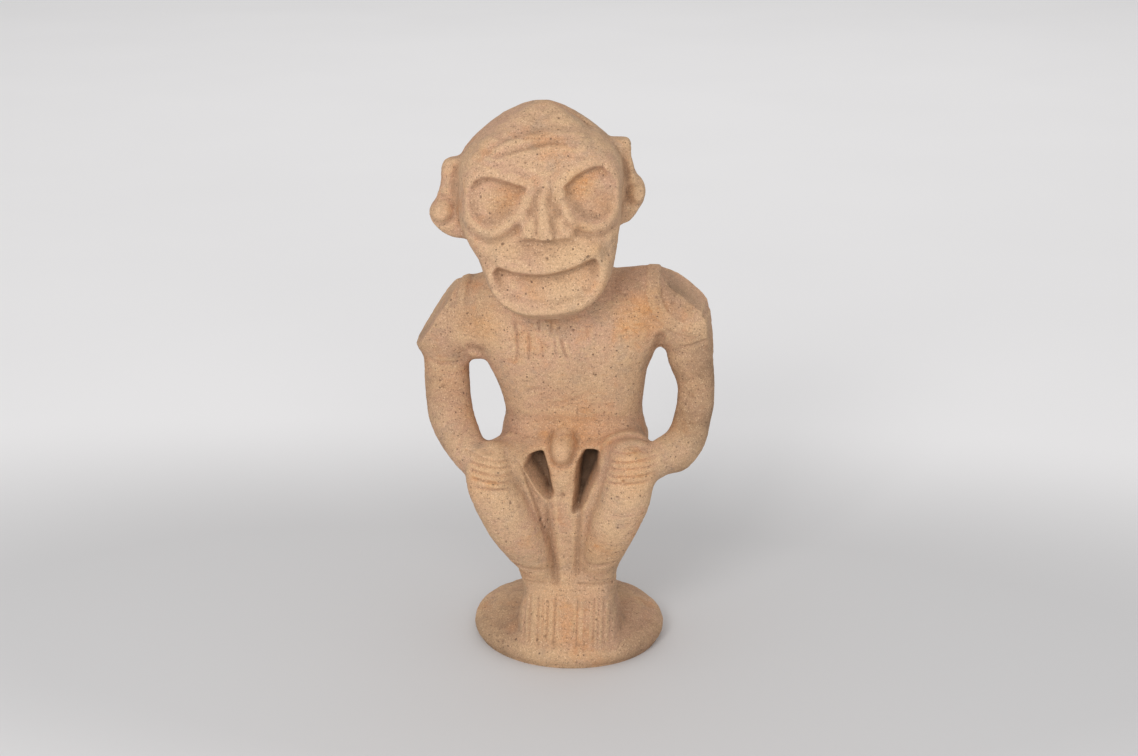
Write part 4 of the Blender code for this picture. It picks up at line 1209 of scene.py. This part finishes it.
def stone_colour(nodes, settings, place, clouds):
    """Mottled tan, pinker in hollows and darker there as painted shade, then iron stains, pale edges of wear
    with painted light spots, painted shade in creases and spots, and dark mottling over it.
    """
    medium, patches, fine_cloud = clouds
    edge, relief, stain, painted_shade_and_mottle, painted_light_place = (
        nodes.stored(name) for name in ("edge", "relief", "stain", "painted_shade_and_mottle", "pale")
    )
    broad = nodes.noise(place, *BROAD_CLOUDS)
    colour = nodes.blend(nodes.remap(broad, 0.38, 0.62), settings.tan, settings.pink_tan)
    colour = nodes.blend(nodes.remap(patches, 0.50, 0.66, 0.0, 0.6), colour, settings.grey_brown)
    # Painted shade and a pinker tone: the hollows take the darker hollow colour.
    hollow = nodes.remap(relief, 0.0, -1.0, 0.0, 0.6, smooth=False)
    colour = nodes.blend(hollow, colour, settings.hollow)
    rust = nodes.times(stain, nodes.remap(medium, 0.32, 0.58, 0.55, 1.0))
    loose_rust = nodes.remap(nodes.noise(place, *RUST_CLOUDS), 0.54, 0.70, 0.0, 0.36)
    rust = nodes.maths("ADD", rust, loose_rust)
    rust = nodes.maths("ADD", rust, nodes.remap(fine_cloud, 0.56, 0.76, 0.0, 0.38))
    colour = nodes.blend(nodes.maths("MINIMUM", rust, 1.0), colour, settings.rust)
    # Pale high edges from wear, and painted light: pale spots on the face, the chest under the jaw, a shin
    # and the feet.
    wear_and_painted_light = nodes.times(nodes.remap(edge, 0.06, 0.6), nodes.remap(medium, 0.35, 0.6, 0.5, 1.0))
    wear_and_painted_light = nodes.larger(nodes.times(wear_and_painted_light, 0.5), nodes.times(painted_light_place, 0.75))
    colour = nodes.blend(wear_and_painted_light, colour, settings.wear_and_painted_light)
    # Painted shade: the dark spots and the concave creases take the dark colour.
    painted_shade_mask = nodes.times(painted_shade_and_mottle, nodes.remap(patches, 0.38, 0.62, 0.6, 1.0))
    painted_shade_mask = nodes.larger(painted_shade_mask, nodes.remap(edge, -0.16, -0.9, 0.0, 0.48, smooth=False))
    colour = nodes.blend(painted_shade_mask, colour, settings.painted_shade_and_mottle)
    return nodes.blend(nodes.remap(fine_cloud, 0.48, 0.30, 0.0, 0.4), colour, settings.painted_shade_and_mottle)


def stone_material(settings):
    """Grainy porous stone: the clouded colour, sand grains of many tones, and dark open pores."""
    stone, nodes, shader, place = new_material("porous sandstone")
    bedding = nodes.stretched(place, BEDDING)
    medium = nodes.noise(bedding, *MEDIUM_CLOUDS)
    patches = nodes.noise(place, *PATCHES)
    fine_cloud = nodes.noise(bedding, *FINE_CLOUDS)
    colour = stone_colour(nodes, settings, place, (medium, patches, fine_cloud))

    sand = nodes.add("Group", {"Vector": place, "Scale": GRAINS_PER_METRE}, node_tree=grain_group())
    tone = nodes.remap(sand.outputs["Tone"], 0.0, 1.0, *GRAIN_TONES, smooth=False)
    grey = nodes.add("CombineColor", dict.fromkeys(("Red", "Green", "Blue"), tone)).outputs["Color"]
    colour = nodes.blend(1.0, colour, grey, "MULTIPLY")
    pale = nodes.remap(sand.outputs["Tone"], 0.94, 0.98, 0.0, 0.35)
    colour = nodes.blend(pale, colour, settings.pale_grain)

    pores = pores_group()
    small, large = (
        nodes.add("Group", {"Vector": place, **sizes}, node_tree=pores).outputs["Mask"]
        for sizes in (SMALL_PORES, LARGE_PORES)
    )
    dark = nodes.larger(nodes.times(small, 0.6), large)
    dark = nodes.larger(dark, nodes.maths("MINIMUM", nodes.stored("pit"), 1.0))
    colour = nodes.blend(nodes.times(dark, settings.pore_strength), colour, settings.pore)
    # Painted shade: the stone deep inside the slots is darkened.
    colour = nodes.blend(nodes.times(nodes.stored("slot"), 0.85), colour, settings.slot_painted_shade)

    height = nodes.maths("ADD", nodes.times(sand.outputs["Height"], 0.35), nodes.times(medium, 0.35))
    height = nodes.maths("SUBTRACT", height, dark)
    bumps = {"Strength": BUMP_STRENGTH, "Distance": settings.grain_depth, "Height": height}
    normal = nodes.add("Bump", bumps).outputs["Normal"]
    rough = nodes.remap(medium, 0.3, 0.7, 0.86, 0.98)
    nodes.fill(shader, {"Base Color": colour, "Roughness": rough, "Normal": normal})
    nodes.fill(shader, {"Specular IOR Level": STONE_SHINE})
    return stone


# Studio
PHOTO_WIDTH = 1138
SENSOR = 36.0
FIGURE_MIDDLE = (0.0, 0.0, 0.17)
FLOOR_RINGS, FLOOR_SPOKES = 12, 96
FIRST_RING = 0.02
RING_GROWTH = 1.5
FLOOR_SQUEEZE = (0.45, 1.0, 1.0)
SHADED_FLOOR = (0.14, 0.42)
FLOOR_NEAR_SHARE = 0.69
# Name, place, target, size and share of the main power of each light
LIGHTS = [
    ("left softbox", (-0.44, -1.70, 1.08), FIGURE_MIDDLE, (0.6, 0.6), 1.0),
    ("right softbox", (0.44, -1.80, 0.80), FIGURE_MIDDLE, (0.6, 0.6), 0.42),
    ("backdrop light", (0.0, 2.0, 1.7), (0.0, 2.0, 0.0), (3.0, 2.4), 0.62),
]
LIGHT_COLOUR = (1.0, 0.99, 0.98)
SURROUND_COLOUR = (1.0, 0.995, 0.99)


def floor_material(colour):
    """Plain pale paper with a faint unevenness, with painted shade that makes it darker round the figure."""
    paper, nodes, shader, place = new_material("studio paper")
    squeezed = nodes.stretched(place, FLOOR_SQUEEZE)
    away = nodes.add("VectorMath", {0: squeezed}, operation="LENGTH").outputs["Value"]
    uneven = nodes.remap(nodes.noise(place, 3.0), 0.2, 0.8, 0.0, 0.06)
    shade = nodes.maths("SUBTRACT", nodes.remap(away, *SHADED_FLOOR), uneven)
    near = [channel * FLOOR_NEAR_SHARE for channel in colour]
    nodes.fill(shader, {"Base Color": nodes.blend(shade, near, colour)})
    nodes.fill(shader, {"Roughness": 0.95, "Specular IOR Level": 0.1})
    return paper


def add_floor(settings):
    """A round level floor: rings of growing radius at height 0, joined by quads."""
    rings, spokes = FLOOR_RINGS, FLOOR_SPOKES
    radius = np.linspace(FIRST_RING, 1.0, rings)[:, None] ** RING_GROWTH * settings.floor_radius
    angle = np.linspace(0, 2 * np.pi, spokes, endpoint=False)
    level = np.zeros((rings, spokes))
    points = np.stack([radius * np.cos(angle), radius * np.sin(angle), level], axis=-1)
    row, col = np.meshgrid(np.arange(rings - 1), np.arange(spokes), indexing="ij")
    here, beside = row * spokes + col, row * spokes + (col + 1) % spokes
    faces = np.stack([here, here + spokes, beside + spokes, beside], axis=-1).reshape(-1, 4).tolist()
    mesh = bpy.data.meshes.new("floor")
    mesh.from_pydata(points.reshape(-1, 3).tolist(), [], faces + [list(range(spokes))])
    mesh.materials.append(floor_material(settings.floor_colour))
    placed_object("floor", mesh)


def add_softbox(name, place, target, size, power):
    """A rectangular light that looks at a target."""
    light = bpy.data.lights.new(name, "AREA")
    light.shape = "RECTANGLE"
    light.size, light.size_y = size
    light.energy = power
    light.color = LIGHT_COLOUR
    item = placed_object(name, light)
    item.location = place
    item.rotation_euler = (Vector(target) - Vector(place)).to_track_quat("-Z", "Y").to_euler()


def add_camera(settings):
    """The photograph's camera: its place, the way it looks, and its field of view."""
    azimuth, pitch = settings.camera_azimuth, settings.camera_pitch
    right = np.array([np.cos(azimuth), np.sin(azimuth), 0.0])
    ahead = np.array([-np.sin(azimuth) * np.cos(pitch), np.cos(azimuth) * np.cos(pitch), -np.sin(pitch)])
    up = np.cross(right, ahead)
    camera = placed_object("camera", bpy.data.cameras.new("camera"))
    axes = np.stack([right, up, -ahead], axis=1)
    camera.matrix_world = Matrix.Translation(settings.camera_place) @ Matrix(axes.tolist()).to_4x4()
    camera.data.sensor_width = SENSOR
    camera.data.lens = settings.focal_pixels * SENSOR / PHOTO_WIDTH
    camera.data.clip_start = 0.01
    bpy.context.scene.camera = camera


def add_world(strength):
    """An even pale surround that fills the shadows."""
    world = bpy.data.worlds.new("studio")
    world.use_nodes = True
    surround = world.node_tree.nodes["Background"]
    Nodes(world.node_tree).fill(surround, {"Color": SURROUND_COLOUR, "Strength": strength})
    bpy.context.scene.world = world


# Settings, operators and panel
FEWEST_FACES = 1000


def colour_property(name, description, default):
    """A colour that a user can pick."""
    return bpy.props.FloatVectorProperty(
        name=name, description=description, default=default, subtype="COLOR", size=3, min=0.0, max=1.0
    )


def number_property(name, description, default, **limits):
    """A number that a user can set."""
    return bpy.props.FloatProperty(name=name, description=description, default=default, **limits)


class ZemiFigureSettings(bpy.types.PropertyGroup):
    """Colours and fineness of the stone."""

    triangles: bpy.props.IntProperty(
        name="Triangles", description="Triangles kept in the carved skin", default=FINAL_TRIANGLES, min=20000
    )
    tan: colour_property("Tan", "Main colour of the stone", (0.545, 0.350, 0.212))
    pink_tan: colour_property("Pink tan", "Second broad colour of the stone", (0.515, 0.312, 0.207))
    grey_brown: colour_property("Grey brown", "Greyer patches", (0.41, 0.285, 0.195))
    rust: colour_property("Rust", "Iron-stained patches", (0.575, 0.272, 0.098))
    # A pinker tone in the hollows, and darker there as painted shade.
    hollow: colour_property("Hollow", "Pinker stone in the hollows", (0.47, 0.278, 0.170))
    wear_and_painted_light: colour_property("Worn", "Worn high edges", (0.62, 0.415, 0.240))
    # Painted shade on spots and in creases, and also the random dark mottling.
    painted_shade_and_mottle: colour_property("Grime", "Dirt on the base, the shoulder and in creases", (0.28, 0.172, 0.102))
    # Pale high edges from wear, and the painted light spots.
    pale_grain: colour_property("Pale grain", "Scattered pale grains", (0.76, 0.57, 0.38))
    pore: colour_property("Pore", "Inside of the open pores", (0.15, 0.095, 0.065))
    # Painted shade deep inside the two slots.
    slot_painted_shade: colour_property("Slot dark", "Stone deep inside the two slots", (0.06, 0.034, 0.021))
    pore_strength: number_property(
        "Pore strength", "How dark the pores are", 0.7, min=0, max=1, subtype="FACTOR"
    )
    grain_depth: number_property("Grain depth", "Depth of grains and pores", 0.0008, min=0, unit="LENGTH")


class ZemiStudioSettings(bpy.types.PropertyGroup):
    """Floor, light and camera."""

    floor_colour: colour_property("Floor", "Colour of the floor", (0.915, 0.91, 0.92))
    floor_radius: number_property("Floor radius", "How far the floor reaches", 9.0, min=1, unit="LENGTH")
    light_power: number_property("Light power", "Power of the main light", 15.0, min=0, unit="POWER")
    fill: number_property("Fill", "Strength of the even surround", 0.62, min=0)
    camera_place: bpy.props.FloatVectorProperty(
        name="Camera place", description="Where the camera stands", default=(0.10059, -1.14973, 0.54159),
        size=3, subtype="TRANSLATION", unit="LENGTH",
    )
    camera_azimuth: number_property(
        "Camera azimuth", "Turn round the figure", np.radians(5.0), subtype="ANGLE"
    )
    camera_pitch: number_property(
        "Camera pitch", "How far it looks down", np.radians(18.0), subtype="ANGLE"
    )
    focal_pixels: number_property("Focal length", "Focal length in pixels of the photograph", 2000.0, min=1)


class ZEMI_OT_figure(bpy.types.Operator):
    """Carves the figure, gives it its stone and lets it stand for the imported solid."""

    bl_idname = "zemi.figure"
    bl_label = "Carve figure"

    def execute(self, context):
        settings = context.scene.zemi_figure
        figure = carved_figure(settings)
        figure.data.materials.append(stone_material(settings))
        if len(figure.data.polygons) < FEWEST_FACES:
            raise RuntimeError("the figure came out empty")
        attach(figure, "root")
        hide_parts(SOLID)
        return {"FINISHED"}


class ZEMI_OT_studio(bpy.types.Operator):
    """Adds the pale floor, two soft lights, the surround and the camera."""

    bl_idname = "zemi.studio"
    bl_label = "Set up studio"

    def execute(self, context):
        settings = context.scene.zemi_studio
        add_floor(settings)
        for name, place, target, size, share in LIGHTS:
            add_softbox(name, place, target, size, settings.light_power * share)
        add_world(settings.fill)
        add_camera(settings)
        context.scene.view_settings.view_transform = "Standard"
        return {"FINISHED"}


class ZEMI_PT_panel(bpy.types.Panel):
    """Lists the operators and their settings in the sidebar."""

    bl_idname = "ZEMI_PT_panel"
    bl_label = "Zemi figure"
    bl_space_type = "VIEW_3D"
    bl_region_type = "UI"
    bl_category = "Zemi"

    def draw(self, context):
        for settings, operator in (
            (context.scene.zemi_figure, ZEMI_OT_figure), (context.scene.zemi_studio, ZEMI_OT_studio),
        ):
            box = self.layout.box()
            for name in settings.__annotations__:
                box.prop(settings, name)
            box.operator(operator.bl_idname)


CLASSES = (ZemiFigureSettings, ZemiStudioSettings, ZEMI_OT_figure, ZEMI_OT_studio, ZEMI_PT_panel)


def register():
    """Makes the settings, operators and panel known to Blender."""
    for item in CLASSES:
        bpy.utils.register_class(item)
    bpy.types.Scene.zemi_figure = bpy.props.PointerProperty(type=ZemiFigureSettings)
    bpy.types.Scene.zemi_studio = bpy.props.PointerProperty(type=ZemiStudioSettings)


def unregister():
    """Removes them again."""
    del bpy.types.Scene.zemi_studio
    del bpy.types.Scene.zemi_figure
    for item in reversed(CLASSES):
        bpy.utils.unregister_class(item)


def main():
    register()
    bpy.ops.zemi.figure()
    bpy.ops.zemi.studio()


if __name__ == "__main__":
    main()
